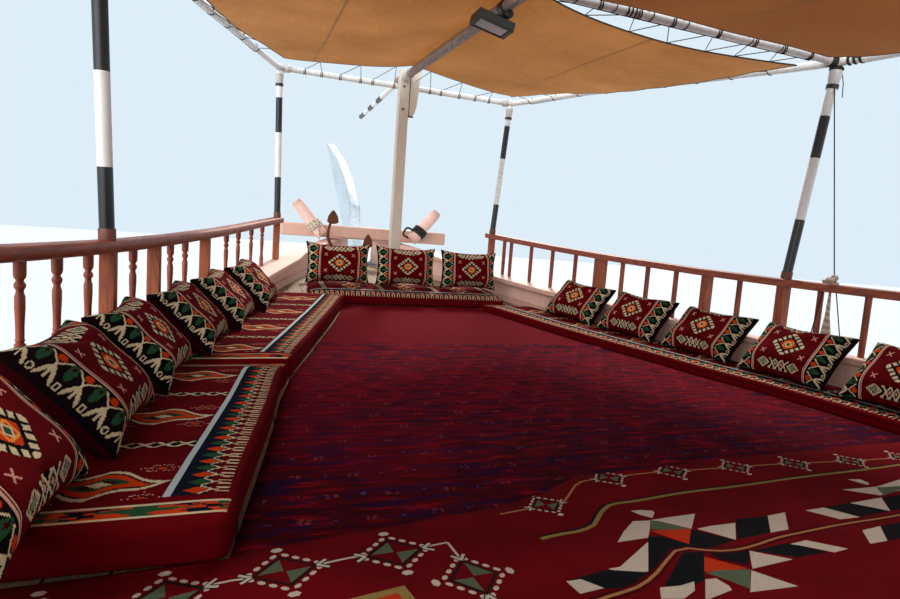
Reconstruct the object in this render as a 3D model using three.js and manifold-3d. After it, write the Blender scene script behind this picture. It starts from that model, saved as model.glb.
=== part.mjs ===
// A wooden motor dhow with a carpeted foredeck under an awning.
// Frame: millimetres, X to starboard, Y forward, Z up, origin amidships on the waterline.
import * as THREE from "three";
import { mergeVertices } from "three/addons/utils/BufferGeometryUtils.js";
import Module from "manifold-3d";

const wasm = await Module();
wasm.setup();
const boat = new THREE.Group();
boat.name = "dhow";
const GAP = 0.4; // between pieces that touch

// ---------- small tools ----------
const V = (x, y, z) => new THREE.Vector3(x, y, z);
const rad = THREE.MathUtils.degToRad;

function solid(geometry) {
  const g = geometry.index ? geometry.toNonIndexed() : geometry.clone();
  g.deleteAttribute("normal");
  g.deleteAttribute("uv");
  const m = mergeVertices(g, 1e-3);
  return new wasm.Manifold(
    new wasm.Mesh({
      numProp: 3,
      vertProperties: m.attributes.position.array,
      triVerts: new Uint32Array(m.index.array),
    }),
  );
}
function geometryOf(made) {
  const m = made.getMesh();
  const v = new Float32Array(m.numVert * 3);
  for (let i = 0; i < m.numVert; i++)
    v.set(m.vertProperties.subarray(i * m.numProp, i * m.numProp + 3), i * 3);
  return new THREE.BufferGeometry()
    .setAttribute("position", new THREE.BufferAttribute(v, 3))
    .setIndex(new THREE.BufferAttribute(new Uint32Array(m.triVerts), 1));
}
const join = (...list) => geometryOf(list.map(solid).reduce((a, b) => a.add(b)));
const cut = (body, ...list) =>
  geometryOf(list.map(solid).reduce((a, b) => a.subtract(b), solid(body)));
const piece = (name, geometry) => {
  const m = new THREE.Mesh(geometry);
  m.name = name;
  boat.add(m);
  return m;
};
const moved = (g, x = 0, y = 0, z = 0) => g.clone().translate(x, y, z);
// A box given by its low and high corners.
const box = (x0, y0, z0, x1, y1, z1) =>
  new THREE.BoxGeometry(Math.abs(x1 - x0), Math.abs(y1 - y0), Math.abs(z1 - z0)).translate(
    (x0 + x1) / 2, (y0 + y1) / 2, (z0 + z1) / 2,
  );
// A solid through a list of rings with the same number of points; open ends are closed flat.
function loft(rings) {
  const n = rings[0].length, pos = [], idx = [];
  rings.forEach((r) => r.forEach((p) => pos.push(p.x, p.y, p.z)));
  for (let i = 0; i + 1 < rings.length; i++)
    for (let j = 0; j < n; j++) {
      const a = i * n + j, b = i * n + ((j + 1) % n);
      idx.push(a, b, b + n, a, b + n, a + n);
    }
  for (const [k, turn] of [[0, 1], [rings.length - 1, 0]]) {
    const r = rings[k];
    const c = r.reduce((s, p) => s.add(p), V(0, 0, 0)).divideScalar(n);
    const normal = V(0, 0, 0);
    r.forEach((p, j) => normal.add(p.clone().sub(c).cross(r[(j + 1) % n].clone().sub(c))));
    normal.normalize();
    const e1 = Math.abs(normal.z) < 0.9 ? V(0, 0, 1) : V(1, 0, 0);
    e1.addScaledVector(normal, -e1.dot(normal)).normalize();
    const e2 = normal.clone().cross(e1);
    const flat = r.map((p) => new THREE.Vector2(p.dot(e1), p.dot(e2)));
    THREE.ShapeUtils.triangulateShape(flat, []).forEach(([a, b, d]) => {
      const left = flat[b].clone().sub(flat[a]).cross(flat[d].clone().sub(flat[a])) > 0;
      idx.push(...(left !== Boolean(turn) ? [a, b, d] : [a, d, b]).map((q) => k * n + q));
    });
  }
  const g = new THREE.BufferGeometry()
    .setAttribute("position", new THREE.Float32BufferAttribute(pos, 3))
    .setIndex(idx);
  if (solid(g).volume() < 0) {
    const a = g.index.array;
    for (let i = 0; i < a.length; i += 3) [a[i + 1], a[i + 2]] = [a[i + 2], a[i + 1]];
  }
  return g;
}
// A round bar through points; radii is one number or one for each point.
function bar(points, radii, sides = 10) {
  const r = (i) => (Array.isArray(radii) ? radii[i] : radii);
  const ref = V(0.13, 0.21, 0.97).normalize();
  return loft(points.map((p, i) => {
    const t = points[Math.min(i + 1, points.length - 1)].clone()
      .sub(points[Math.max(i - 1, 0)]).normalize();
    const base = Math.abs(t.dot(ref)) > 0.95 ? V(1, 0, 0) : ref;
    const u = base.clone().cross(t).normalize(), w = t.clone().cross(u);
    return Array.from({ length: sides }, (_, j) => {
      const a = (2 * Math.PI * (j + 0.5)) / sides;
      return p.clone().addScaledVector(u, r(i) * Math.cos(a)).addScaledVector(w, r(i) * Math.sin(a));
    });
  }));
}
// A plate: a (y, z) outline, from x0 to x1.
const plate = (outline, x0, x1) =>
  loft([x0, x1].map((x) => outline.map(([y, z]) => V(x, y, z))));
// Monotone interpolation through a table of [at, value].
function curve(table) {
  const x = table.map((r) => r[0]), y = table.map((r) => r[1]), n = x.length;
  const h = x.slice(1).map((v, i) => v - x[i]), d = h.map((v, i) => (y[i + 1] - y[i]) / v);
  const m = x.map((_, i) => {
    if (i === 0) return d[0];
    if (i === n - 1) return d[n - 2];
    if (d[i - 1] * d[i] <= 0) return 0;
    const w1 = 2 * h[i] + h[i - 1], w2 = h[i] + 2 * h[i - 1];
    return (w1 + w2) / (w1 / d[i - 1] + w2 / d[i]);
  });
  return (v) => {
    const q = Math.min(Math.max(v, x[0]), x[n - 1]);
    let i = x.findIndex((c, k) => k < n - 1 && q <= x[k + 1]);
    if (i < 0) i = n - 2;
    const t = (q - x[i]) / h[i], t2 = t * t, t3 = t2 * t;
    return (2 * t3 - 3 * t2 + 1) * y[i] + (t3 - 2 * t2 + t) * h[i] * m[i] +
      (3 * t2 - 2 * t3) * y[i + 1] + (t3 - t2) * h[i] * m[i + 1];
  };
}

// ---------- the lines of the hull ----------
const DECK_LOW = 1150, DECK_LOW_AT = 1700;
const DECK_THICK = 40, PLANK = 60;
const stations = [
  -8150, -7600, -7000, -6200, -5400, -4400, -3200, -1900, -600, 600, 1500, 2300, 2950, 3600,
  4300, 5000, 5600, 6100, 6600, 7100, 7500, 7900,
];
const between = (a, b) => [a, ...stations.filter((y) => y > a + 1 && y < b - 1), b];
// Straight runs between the stations, so that every piece that lies on another follows it.
function faired(f) {
  const v = stations.map(f), n = stations.length;
  return (y) => {
    let i = stations.findIndex((c, k) => k < n - 1 && y <= stations[k + 1]);
    if (i < 0) i = n - 2;
    return v[i] + ((v[i + 1] - v[i]) * (y - stations[i])) / (stations[i + 1] - stations[i]);
  };
}
const deckZ = faired((y) =>
  DECK_LOW + (y > DECK_LOW_AT ? 1.17e-5 : 0.65e-5) * (y - DECK_LOW_AT) ** 2);
const halfAt = faired(curve([
  [-8200, 1480], [-7000, 1790], [-6000, 1990], [-3000, 2350], [-500, 2420], [1500, 2290],
  [2850, 1990], [4400, 1630], [6050, 1155], [7200, 620], [7950, 150],
]));
const keelZ = curve([
  [-8200, 620], [-7300, 150], [-6500, -350], [-5600, -860], [-4500, -1120], [-3000, -1230],
  [0, -1250], [3000, -1140], [4500, -900], [5600, -480], [6400, 170], [7100, 850], [7950, 1500],
]);
const fullness = curve([
  [-8200, 0.8], [-7000, 0.72], [-5500, 0.5], [-3000, 0.34], [0, 0.3], [3000, 0.33],
  [5000, 0.45], [6500, 0.62], [7950, 0.8],
]);
const bulwarkHigh = faired(curve([[-8200, 250], [5400, 250], [7450, 312], [7950, 345]]));
const gunZ = (y) => deckZ(y) + bulwarkHigh(y); // top of the gunwale plank
const CAP_HIGH = 670; // top of the handrail above the deck

function hullRing(y) {
  const top = deckZ(y) - DECK_THICK, low = keelZ(y), wide = halfAt(y), a = fullness(y);
  const side = [0.0, 0.05, 0.14, 0.27, 0.45, 0.64, 0.8].map((f) => [
    60 + (wide - 60) * f ** a, low + f * (top - low),
  ]);
  const at = (z) => 60 + (wide - 60) * Math.max(0, (z - low) / (top - low)) ** a;
  const wale = Math.min(260, (top - low) * 0.3), out = Math.min(38, wide * 0.15);
  side[6][1] = Math.min(side[6][1], top - wale - 1);
  side[6][0] = at(side[6][1]);
  side.push([at(top - wale), top - wale], [at(top - wale) + out, top - wale + 4],
    [at(top - wale * 0.45) + out, top - wale * 0.45], [at(top - wale * 0.43), top - wale * 0.43],
    [wide, top]);
  const rake = (z) => (y < -7500 ? 0.32 * (top - z) * (y < -8000 ? 1 : 0.45) : 0);
  return [
    ...side.map(([x, z]) => V(x, y + rake(z), z)),
    ...side.reverse().map(([x, z]) => V(-x, y + rake(z), z)),
  ];
}

// keel, stem with its tall head, and sternpost: one outline in the (y, z) plane
const BACKBONE = 140;
const inner = [
  [11410, 3580], [9920, 3130], [9030, 2750], [8350, 2330], [8250, 2060], [7930, 1640],
  [7250, 1000], [6600, 400], [5700, -380], [4500, -800], [3000, -1040], [0, -1150],
  [-3000, -1130], [-4500, -1010], [-5600, -740], [-6450, -210], [-7250, 240], [-7740, 1000],
];
const outer = [
  [-8010, 1000], [-7535, -280], [-7060, -1560], [-6900, -1640], [-3000, -1560], [0, -1500],
  [3000, -1390], [4600, -1120], [5800, -640], [6600, 70], [7500, 950], [8270, 1560],
  [8970, 2050], [9730, 2520], [11480, 3580],
];
const PROP = { y: -6540, z: -880, r: 400 };
const aperture = plate(
  [[-6870, -1340], [-6250, -1340], [-6200, -430], [-6560, -330], [-6900, -420]], -100, 100,
);
const shaftBore = bar([V(0, -6300, PROP.z), V(0, -5700, PROP.z)], 31.5, 12);
const groove = plate(
  [...inner.map(([y, z], i) => (i > 15 ? [y + GAP, z + GAP] : [y - GAP, z + GAP])),
    [-8500, 1000 + GAP], [-8500, -2600], [9000, -2600], [12500, 900], [12500, 3700]],
  -BACKBONE / 2 - GAP, BACKBONE / 2 + GAP,
);

// engine pocket, open to the hatch above it
const ENGINE = { x: 420, y0: -2650, y1: -1250, z0: -250, z1: 700 };
const pocket = box(-ENGINE.x - 130, ENGINE.y0 - 130, ENGINE.z0 - GAP,
  ENGINE.x + 130, ENGINE.y1 + 130, 1400);
piece("hull", cut(loft(stations.map(hullRing)), groove, pocket));
piece("keel_and_stem", cut(plate([...inner, ...outer], -BACKBONE / 2, BACKBONE / 2), aperture, shaftBore));

// ---------- deck, bulwarks ----------
const ring = (y, list) => list.map(([x, z]) => V(x, y, z));
const DECK_EDGE = 0.5;
const HATCH = { x: 480, y0: -2720, y1: -1180, coaming: 160, wall: 50 };
const DECK_JOINT = -3100;
const deckRing = (y) => {
  const w = halfAt(y) - PLANK - DECK_EDGE, z = deckZ(y);
  return ring(y, [[-w, z - DECK_THICK + GAP], [w, z - DECK_THICK + GAP], [w, z], [-w, z]]);
};
const hatchZ = deckZ(-1950) + HATCH.coaming;
const coaming = box(-HATCH.x - HATCH.wall, HATCH.y0 - HATCH.wall, 1100,
  HATCH.x + HATCH.wall, HATCH.y1 + HATCH.wall, hatchZ);
const hatchHole = box(-HATCH.x, HATCH.y0, 1000, HATCH.x, HATCH.y1, 1500);
// all that lies below the deck's top, to trim what stands on it to its sheer
const underDeck = (y0, y1) => loft(between(y0, y1).map((y) =>
  ring(y, [[-1600, 700], [1600, 700], [1600, deckZ(y) + GAP], [-1600, deckZ(y) + GAP]])));
piece("deck", cut(loft(between(DECK_JOINT + GAP, 7500).map(deckRing)), hatchHole));
piece("deck_aft", loft(between(-8080, DECK_JOINT).map(deckRing)));
piece("hatch_coaming", cut(coaming, hatchHole, underDeck(-3050, -900)));

const GUN = { thick: 45, out: 38 };
// how far the gunwale plank reaches inboard of the planking: a broad timber round the foredeck's end
const gunIn = faired(curve([[-8150, 40], [4300, 40], [5000, 150], [6100, 150], [6600, 80], [7900, 60]]));
function bulwark(side) {
  return loft(between(-8070, 7850).map((y) => {
    const w = halfAt(y), z = deckZ(y) - DECK_THICK + GAP, t = gunZ(y);
    const i = Math.max(w - PLANK, 75), gi = Math.max(i - gunIn(y), 72);
    return ring(y, [[i, z], [w, z], [w + 4, t - GUN.thick], [w + GUN.out, t - GUN.thick],
      [w + GUN.out, t], [gi, t], [gi, t - GUN.thick], [i, t - GUN.thick]]
      .map(([x, h]) => [side * x, h]));
  }));
}
piece("bulwark_port", bulwark(-1));
piece("bulwark_starboard", bulwark(1));
const sternW = halfAt(-8150);
piece("stern_board", plate([
  [-8150, deckZ(-8150) - DECK_THICK + GAP], [-8082, deckZ(-8150) - DECK_THICK + GAP],
  [-8082, gunZ(-8150) + 330], [-8150, gunZ(-8150) + 330]], -sternW, sternW));

// ---------- handrails: sill, turned balusters, square stanchions and cap ----------
const RAIL = { from: -3150, to: 6120, capHigh: 52, capWide: 105, sillHigh: 26, sillWide: 82 };
const RAIL_IN = 0; // the rail stands over the gunwale's middle
const capTop = (y) => deckZ(y) + CAP_HIGH;
const railX = (y) => halfAt(y) - RAIL_IN;
const baluster = (() => {
  const profile = [[0, 0], [24, 0], [24, 90], [20, 105], [21, 180], [23, 280], [18, 292], [25, 306],
    [18, 322], [26, 345], [27, 400], [0, 400]];
  return new THREE.LatheGeometry(profile.map(([r, z]) => new THREE.Vector2(r, z)), 6)
    .rotateX(Math.PI / 2);
})();
// places along Y of the turned balusters and the square stanchions, from the bow aft
const aftBalusters = [1990, 1720, 1450, 1180, 910, 640, 370, 100, -170, -640, -910, -1180, -1450, -1720, -1990,
  -2260, -2530, -2800];
const railMembers = {
  port: {
    turned: [5615, 5290, 4925, 4620, 3795, 3560, 3080, 2670, 2460, 2255, ...aftBalusters],
    square: [{ y: 6047, wide: 82 }, { y: 4165, wide: 150 }, { y: 3335, wide: 75 }, { y: 2835, wide: 82 },
      { y: -370, wide: 82 }, { y: -3090, wide: 82 }],
  },
  starboard: {
    turned: [5845, 5740, 5440, 5140, 4835, 4285, 4025, 3755, 3230, 2695, 2435, 2165, ...aftBalusters.slice(1)],
    square: [{ y: 6047, wide: 82 }, { y: 4530, wide: 150 }, { y: 3485, wide: 80 }, { y: 2925, wide: 82 },
      { y: -370, wide: 82 }, { y: -3090, wide: 82 }],
  },
};
function rail(side) {
  const { turned: turnedAt, square: squareAt } = railMembers[side < 0 ? "port" : "starboard"];
  const strip = (wide, low, high) => loft(between(RAIL.from, RAIL.to).map((y) => {
    const c = side * railX(y);
    return ring(y, [[c - wide / 2, low(y)], [c + wide / 2, low(y)], [c + wide / 2, high(y)], [c - wide / 2, high(y)]]);
  }));
  const sill = strip(RAIL.sillWide, (y) => gunZ(y) + GAP, (y) => gunZ(y) + RAIL.sillHigh);
  const cap = strip(RAIL.capWide, (y) => capTop(y) - RAIL.capHigh, capTop);
  const turned = turnedAt.map((y) => {
    const z0 = gunZ(y) + RAIL.sillHigh - 8, z1 = capTop(y) - RAIL.capHigh + 8;
    return baluster.clone().scale(1, 1, (z1 - z0) / 400).translate(side * railX(y), y, z0);
  });
  const square = squareAt.map(({ y, wide }) =>
    box(side * railX(y) - 38, y - wide / 2, gunZ(y) + 12, side * railX(y) + 38, y + wide / 2, capTop(y) - 12));
  return join(sill, cap, ...turned, ...square);
}
piece("rail_port", rail(-1));
piece("rail_starboard", rail(1));

// ---------- awning posts, pipes ----------
const PIPE_R = 27, POST_R = 30;
const posts = [
  { name: "post_port_1", foot: [-1155, 6047], top: [-1190, 5966, 3450], under: 0.5 },
  { name: "post_port_2", foot: [-1993, 2805], top: [-2028, 2712, 3225], under: 0.25 },
  { name: "post_port_3", foot: [-2412, -370], top: [-2455, -440, 3225], under: 1.9 },
  { name: "post_starboard_1", foot: [1155, 6047], top: [1217, 5966, 3450], under: 0.3 },
  { name: "post_starboard_2", foot: [1975, 2920], top: [2088, 2837, 3237], under: 1.6 },
  { name: "post_starboard_3", foot: [2412, -370], top: [2470, -440, 3225], under: 2.2 },
];
for (const { name, foot: [x, y], top, under } of posts) {
  const slope = (capTop(y + 60) - capTop(y - 60)) / 120;
  const base = capTop(y) + GAP, dir = V(...top).sub(V(x, y, base)).normalize();
  const low = V(x, y, base + 7), high = V(...top).addScaledVector(dir, -PIPE_R - under);
  const flange = new THREE.CylinderGeometry(46, 46, 14, 12).rotateX(Math.PI / 2)
    .translate(0, 0, 7).rotateX(Math.atan(slope)).translate(x, y, base);
  piece(name, join(bar([low, high], POST_R, 12), flange));
}
const sidePipes = [
  { name: "side_pipe_port", at: [[-1150, 6060, 3456], [-1190, 5966, 3450], [-1535, 5050, 3425], [-1770, 4300, 3370],
    [-1930, 3500, 3300], [-2028, 2712, 3225], [-2240, 1700, 3205], [-2400, 600, 3215], [-2455, -440, 3225],
    [-2390, -1500, 3280], [-2080, -2500, 3420], [-1640, -3100, 3560], [-1457.6, -3500, 3622], [-1457.6, -3900, 3622]] },
  { name: "side_pipe_starboard", at: [[1177, 6060, 3456], [1217, 5966, 3450], [1560, 5050, 3425], [1800, 4300, 3370],
    [1975, 3500, 3300], [2088, 2837, 3237], [2270, 1700, 3205], [2410, 600, 3215], [2470, -440, 3225],
    [2400, -1500, 3280], [2080, -2500, 3420], [1640, -3100, 3560], [1457.6, -3500, 3622], [1457.6, -3900, 3622]] },
];
for (const { name, at } of sidePipes)
  piece(name, bar(at.map((p) => V(...p)), PIPE_R, 10));
const crossPipes = [
  { name: "cross_pipe_1", from: [-1190, 5966, 3450], to: [1217, 5966, 3450], short: [39.9, 40.7] },
  { name: "cross_pipe_2", from: [-2028, 2712, 3225], to: [2088, 2837, 3237], short: [30.9, 31] },
  { name: "cross_pipe_3", from: [-2455, -440, 3225], to: [2470, -440, 3225], short: [28.4, 28.6] },
];
for (const { name, from, to, short } of crossPipes) {
  const a = V(...from), b = V(...to), d = b.clone().sub(a).normalize();
  piece(name, bar([a.addScaledVector(d, short[0]), b.addScaledVector(d, -short[1])], PIPE_R, 10));
}

// ---------- mast post with its cheek, ridge spar, bow staff, floodlight ----------
const MAST = { y: 5862, half: 70, top: 3585 };
const SPAR = { r: 45, rise: (3500 - 3370) / (5570 - 3510), from: 2250, to: 6090 };
const sparZ = (y) => 3370 + SPAR.rise * (y - 3510);
const cheek = plate([
  [5815, 3140], [5900, 3140], [5932, 3330], [5932, 3620], [5880, 3640], [5800, 3600], [5790, 3330]], 60, 128);
const mastPost = box(-MAST.half, MAST.y - MAST.half, deckZ(MAST.y + MAST.half) + GAP, MAST.half, MAST.y + MAST.half, sparZ(5800) - SPAR.r - 0.05);
const ear = box(-MAST.half, MAST.y - MAST.half, 3300, -SPAR.r - 8, MAST.y + MAST.half, MAST.top);
const earR = box(SPAR.r + 8, MAST.y - MAST.half, 3300, 120, MAST.y + MAST.half, MAST.top);
piece("mast_post", join(mastPost, ear, earR, cheek));
piece("ridge_spar", bar([V(0, SPAR.from, sparZ(SPAR.from)), V(0, SPAR.to, sparZ(SPAR.to))], [38, SPAR.r], 14));
piece("bow_staff", bar([V(0, 6092.6, 3534), V(0, 8260, 3542)], [30, 28], 12));
const LAMP = { x: -75, y: 3390 };
const lampZ = sparZ(LAMP.y) - SPAR.r + 4.9;
const lamp = join(
  box(-120, LAMP.y - 15, lampZ - 50, 20, LAMP.y + 15, lampZ - 14),
  box(-15, LAMP.y - 50, lampZ - 32, 15, LAMP.y + 50, lampZ - GAP - 2.9),
  box(-120, -75, -24, 120, 75, 24).rotateY(rad(12)).translate(LAMP.x, LAMP.y, lampZ - 66),
);
piece("floodlight", lamp);

// ---------- bow: thwart beam, bitts, grapnel ----------
const BEAM = { y: 7450, half: 1050, z0: 1864.9, z1: 2022, deep: 160 };
piece("bow_beam", box(-BEAM.half, BEAM.y - BEAM.deep / 2, BEAM.z0, BEAM.half, BEAM.y + BEAM.deep / 2, BEAM.z1));
const BITT = { lean: 40, long: 500, thick: 135 };
for (const [name, s] of [["bitt_port", -1], ["bitt_starboard", 1]]) {
  const g = box(-BITT.thick / 2, -BITT.thick / 2, -BITT.long, BITT.thick / 2, BITT.thick / 2, 0)
    .rotateY(rad(s * BITT.lean)).translate(s * 890, BEAM.y - BEAM.deep / 2 - 67.9, 2280);
  piece(name, g);
}
const crown = V(-500, 6400, 1690);
const arms = [
  { mid: [-610, 6380, 1890], tip: [-570, 6340, 2120], palm: 62 },
  { mid: [-300, 6400, 1720], tip: [-170, 6400, 1890], palm: 55 },
  { mid: [-630, 6420, 1600], tip: [-760, 6400, 1700], palm: 50 },
  { mid: [-470, 6420, 1560], tip: [-470, 6400, 1510], palm: 55 },
];
const palmAt = ([x, y, z], w) => {
  const o = [[x - w, z - 95], [x + w, z - 95], [x, z + 55]];
  return loft([y - 8, y + 8].map((q) => o.map(([a, b]) => V(a, q, b))));
};
piece("grapnel", join(
  bar([V(-500, 6350, 1690), V(-400, 6850, 1580), V(-340, 7150, 1524)], [30, 26, 24], 8),
  ...arms.map(({ mid, tip }) => bar([crown, V(...mid), V(...tip)], [24, 20, 14], 8)),
  ...arms.map(({ tip, palm }) => palmAt(tip, palm)),
).translate(0, 0, -4));

// ---------- soft furnishing ----------
const MAT_T = 130, MAT_FROM = 1300, MAT_WORN = 80;
function mattress(name, side, innerAt, y0, y1, thick = MAT_T) {
  const edge = curve(innerAt);
  piece(name, loft([y0, ...between(y0 + 16, y1 - 16), y1].map((y, i, all) => {
    const end = i === 0 || i === all.length - 1 ? 14 : 0;
    const xi = edge(y) + end, xo = halfAt(y) - PLANK - gunIn(y) - 12 - end, z = deckZ(y) + GAP + end, t = deckZ(y) + thick - end;
    return ring(y, [[xi + 15, z], [xo - 15, z], [xo, z + 20], [xo, t - 20], [xo - 15, t], [xi + 15, t], [xi, t - 20], [xi, z + 20]]
      .map(([x, h]) => [side * x, h]));
  })));
}
const portEdge = [[1300, 1460], [1840, 1380], [2250, 1320], [2800, 1250], [3180, 1150], [3790, 980], [4530, 770], [5160, 600]];
const starEdge = [[1300, 1575], [1810, 1565], [2080, 1550], [2490, 1490], [2790, 1410], [3130, 1320], [3540, 1200], [3980, 1060],
  [4740, 830], [5160, 700]];
mattress("mattress_port_1", -1, portEdge, 1300, 2940);
mattress("mattress_port_2", -1, portEdge, 2942, 5150);
mattress("mattress_starboard", 1, starEdge, 1300, 5150, MAT_WORN);
piece("mattress_front", loft([[-900, 14], [-860, 0], [960, 0], [1000, 14]].map(([x, e]) => {
  const z = (y) => deckZ(y);
  return [[5190 + e, z(5190) + 22], [5205, z(5205) + GAP], [5600, z(5600) + GAP], [5745, z(5745) + GAP], [5760 - e, z(5760) + 22],
    [5760 - e, z(5760) + MAT_T - 22], [5745, z(5745) + MAT_T - e], [5600, z(5600) + MAT_T - e], [5205, z(5190) + MAT_T - e], [5190 + e, z(5190) + MAT_T - 22]]
    .map(([y, h]) => V(x, y, h));
})));

const CUSHION = { wide: 590, high: 430, thick: 150 };
// A pillow in its own frame: X along its width, Z up its height, Y through it.
function pillow({ wide, high, thick }) {
  const nx = 8, nz = 6, pos = [], idx = [];
  const at = (i, j, s) => {
    const u = (2 * i) / nx - 1, v = (2 * j) / nz - 1;
    const puff = (1 - u ** 4) * (1 - v ** 4);
    const pinch = 1 - 0.05 * (1 - Math.abs(u) ** 2) * v * v;
    return V((u * wide) / 2 * (1 - 0.05 * (1 - v * v)), s * (14 + (thick / 2 - 14) * puff ** 0.6), ((v * high) / 2) * pinch);
  };
  for (const s of [-1, 1])
    for (let j = 0; j <= nz; j++) for (let i = 0; i <= nx; i++) { const p = at(i, j, s); pos.push(p.x, p.y, p.z); }
  const n = (nx + 1) * (nz + 1), id = (i, j, k) => k * n + j * (nx + 1) + i;
  const quad = (a, b, c, d) => idx.push(a, b, c, a, c, d);
  for (let j = 0; j < nz; j++) for (let i = 0; i < nx; i++) {
    quad(id(i, j, 0), id(i + 1, j, 0), id(i + 1, j + 1, 0), id(i, j + 1, 0));
    quad(id(i, j, 1), id(i, j + 1, 1), id(i + 1, j + 1, 1), id(i + 1, j, 1));
  }
  for (let i = 0; i < nx; i++) {
    quad(id(i, 0, 1), id(i + 1, 0, 1), id(i + 1, 0, 0), id(i, 0, 0));
    quad(id(i, nz, 0), id(i + 1, nz, 0), id(i + 1, nz, 1), id(i, nz, 1));
  }
  for (let j = 0; j < nz; j++) {
    quad(id(0, j, 0), id(0, j + 1, 0), id(0, j + 1, 1), id(0, j, 1));
    quad(id(nx, j, 1), id(nx, j + 1, 1), id(nx, j + 1, 0), id(nx, j, 0));
  }
  return new THREE.BufferGeometry().setAttribute("position", new THREE.Float32BufferAttribute(pos, 3)).setIndex(idx);
}
// x, y: foot centre; yaw: the way the face looks, from -Y towards +X; lean: back from upright
const cushions = [
  { name: "cushion_port_1", x: -1805, y: 1345, yaw: 84, lean: 26 },
  { name: "cushion_port_2", x: -1790, y: 2000, yaw: 83, lean: 26 },
  { name: "cushion_port_3", x: -1700, y: 2650, yaw: 81, lean: 27 },
  { name: "cushion_port_4", x: -1585, y: 3285, yaw: 77, lean: 27 },
  { name: "cushion_port_5", x: -1435, y: 3905, yaw: 75, lean: 27 },
  { name: "cushion_port_6", x: -1245, y: 4520, yaw: 72, lean: 26 },
  { name: "cushion_starboard_1", x: 1660, y: 1840, yaw: -88, lean: 34 },
  { name: "cushion_starboard_2", x: 1620, y: 2480, yaw: -84, lean: 34 },
  { name: "cushion_starboard_3", x: 1560, y: 3120, yaw: -81, lean: 30 },
  { name: "cushion_starboard_4", x: 1420, y: 3750, yaw: -77, lean: 30 },
  { name: "cushion_starboard_5", x: 1250, y: 4380, yaw: -74, lean: 30 },
  { name: "cushion_front_1", x: -615, y: 5480, yaw: 0, lean: 12 },
  { name: "cushion_front_2", x: 40, y: 5480, yaw: 0, lean: 12 },
  { name: "cushion_front_3", x: 695, y: 5480, yaw: 0, lean: 12 },
];
for (const { name, x, y, yaw, lean } of cushions) {
  const c = CUSHION;
  const rise = Math.atan((deckZ(y + 200) - deckZ(y - 200)) / 400); // it follows the deck's sheer
  const g = pillow(c).translate(0, 0, c.high / 2).rotateX(rad(-lean)).rotateZ(rad(yaw)).rotateX(rise);
  g.translate(x, y, 0);
  const p = g.attributes.position; // it rests on the mattress by its lowest points
  const lift = Math.max(...Array.from({ length: p.count }, (_, i) =>
    p.getY(i) > MAT_FROM + 20 ? deckZ(p.getY(i)) + (name.includes("starboard") ? MAT_WORN : MAT_T) + GAP - p.getZ(i) : -1e4));
  piece(name, g.translate(0, 0, lift));
}

const CARPET = { thick: 10, y0: 1050, y1: 5170 };
const carpetSides = (y) => [-(curve(portEdge)(y) - 12), curve(starEdge)(y) - 12];
piece("carpet", loft([CARPET.y0, 1500, 2300, 2950, 3600, 4300, 5000, CARPET.y1].map((y) => {
  const [a, b] = carpetSides(Math.max(y, 1310)), z = deckZ(y) + 0.8;
  return ring(y, [[a, z], [b, z], [b, z + CARPET.thick], [a, z + CARPET.thick]]);
})));
const KILIM = { thick: 6 };
// its forward edge lies aslant over the carpet, and its port end reaches under the mattresses' after end
const kilimRows = [[-950, -1950, 1500], [600, -1950, 1500], [1000, -1950, 1500], [1040, -1950, 1500], [1286, -1950, 1500],
  [1292, -1430, 1500], [1340, -1409, 1500], [1402, -1015, 1500], [1452, -698, 1500], [1507, -538, 1500], [1616, -343, 1500],
  [1656, 219, 1500], [1699, 885, 1500], [1712, 1100, 1480]];
piece("kilim", loft(kilimRows.map(([y, a, b]) => {
  const z = deckZ(y) + (y > 1030 ? CARPET.thick + 1.8 : 1);
  return ring(y, [[a, z], [b, z], [b, z + KILIM.thick], [a, z + KILIM.thick]]);
})));

// ---------- awning: three sheets of cloth ----------
const CLOTH = 6;
function sheet(name, rows) {
  // rows: forward to aft; each a list of [x, y, z] across
  const top = rows.map((r) => r.map(([x, y, z]) => V(x, y, z)));
  piece(name, loft(top.map((r) => [
    ...r, ...r.slice().reverse().map((p) => p.clone().setZ(p.z - CLOTH)),
  ])));
}
const acrossAwning = [-1, -0.75, -0.5, -0.25, -0.06, 0, 0.06, 0.25, 0.5, 0.75, 1];
const awnings = [
  { name: "awning_fore", rows: [[5760, 1110, 3476], [5300, 1330, 3440], [4500, 1590, 3330], [3700, 1790, 3270], [3080, 1890, 3235]]
    .map((r) => [...r, sparZ(r[0]) + SPAR.r + CLOTH + 0.6]), sag: 45 },
  { name: "awning_middle", rows: [[2620, 1920, 3170, 3180], [1900, 2080, 3110, 3110], [1100, 2190, 3080, 3080], [300, 2280, 3110, 3110], [-380, 2330, 3230, 3230], [-436, 2360, 3258.6, 3258.6]], sag: 0 },
  { name: "awning_aft", rows: [[-444, 2360, 3258.6, 3258.6], [-500, 2330, 3240, 3240], [-1300, 2240, 3200, 3230], [-2100, 2000, 3320, 3360], [-2800, 1660, 3490, 3530], [-3105, 1410, 3668, 3668], [-3200, 1380, 3665.2, 3665.2]], sag: 0 },
];
for (const { name, rows, sag } of awnings)
  sheet(name, rows.map(([y, half, edge, ridge], k) =>
    acrossAwning.map((u) => {
      const a = Math.abs(u), dip = sag * 4 * a * (1 - a);
      return [u * half, y, edge + (ridge - edge) * (1 - a) - dip];
    })));

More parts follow.
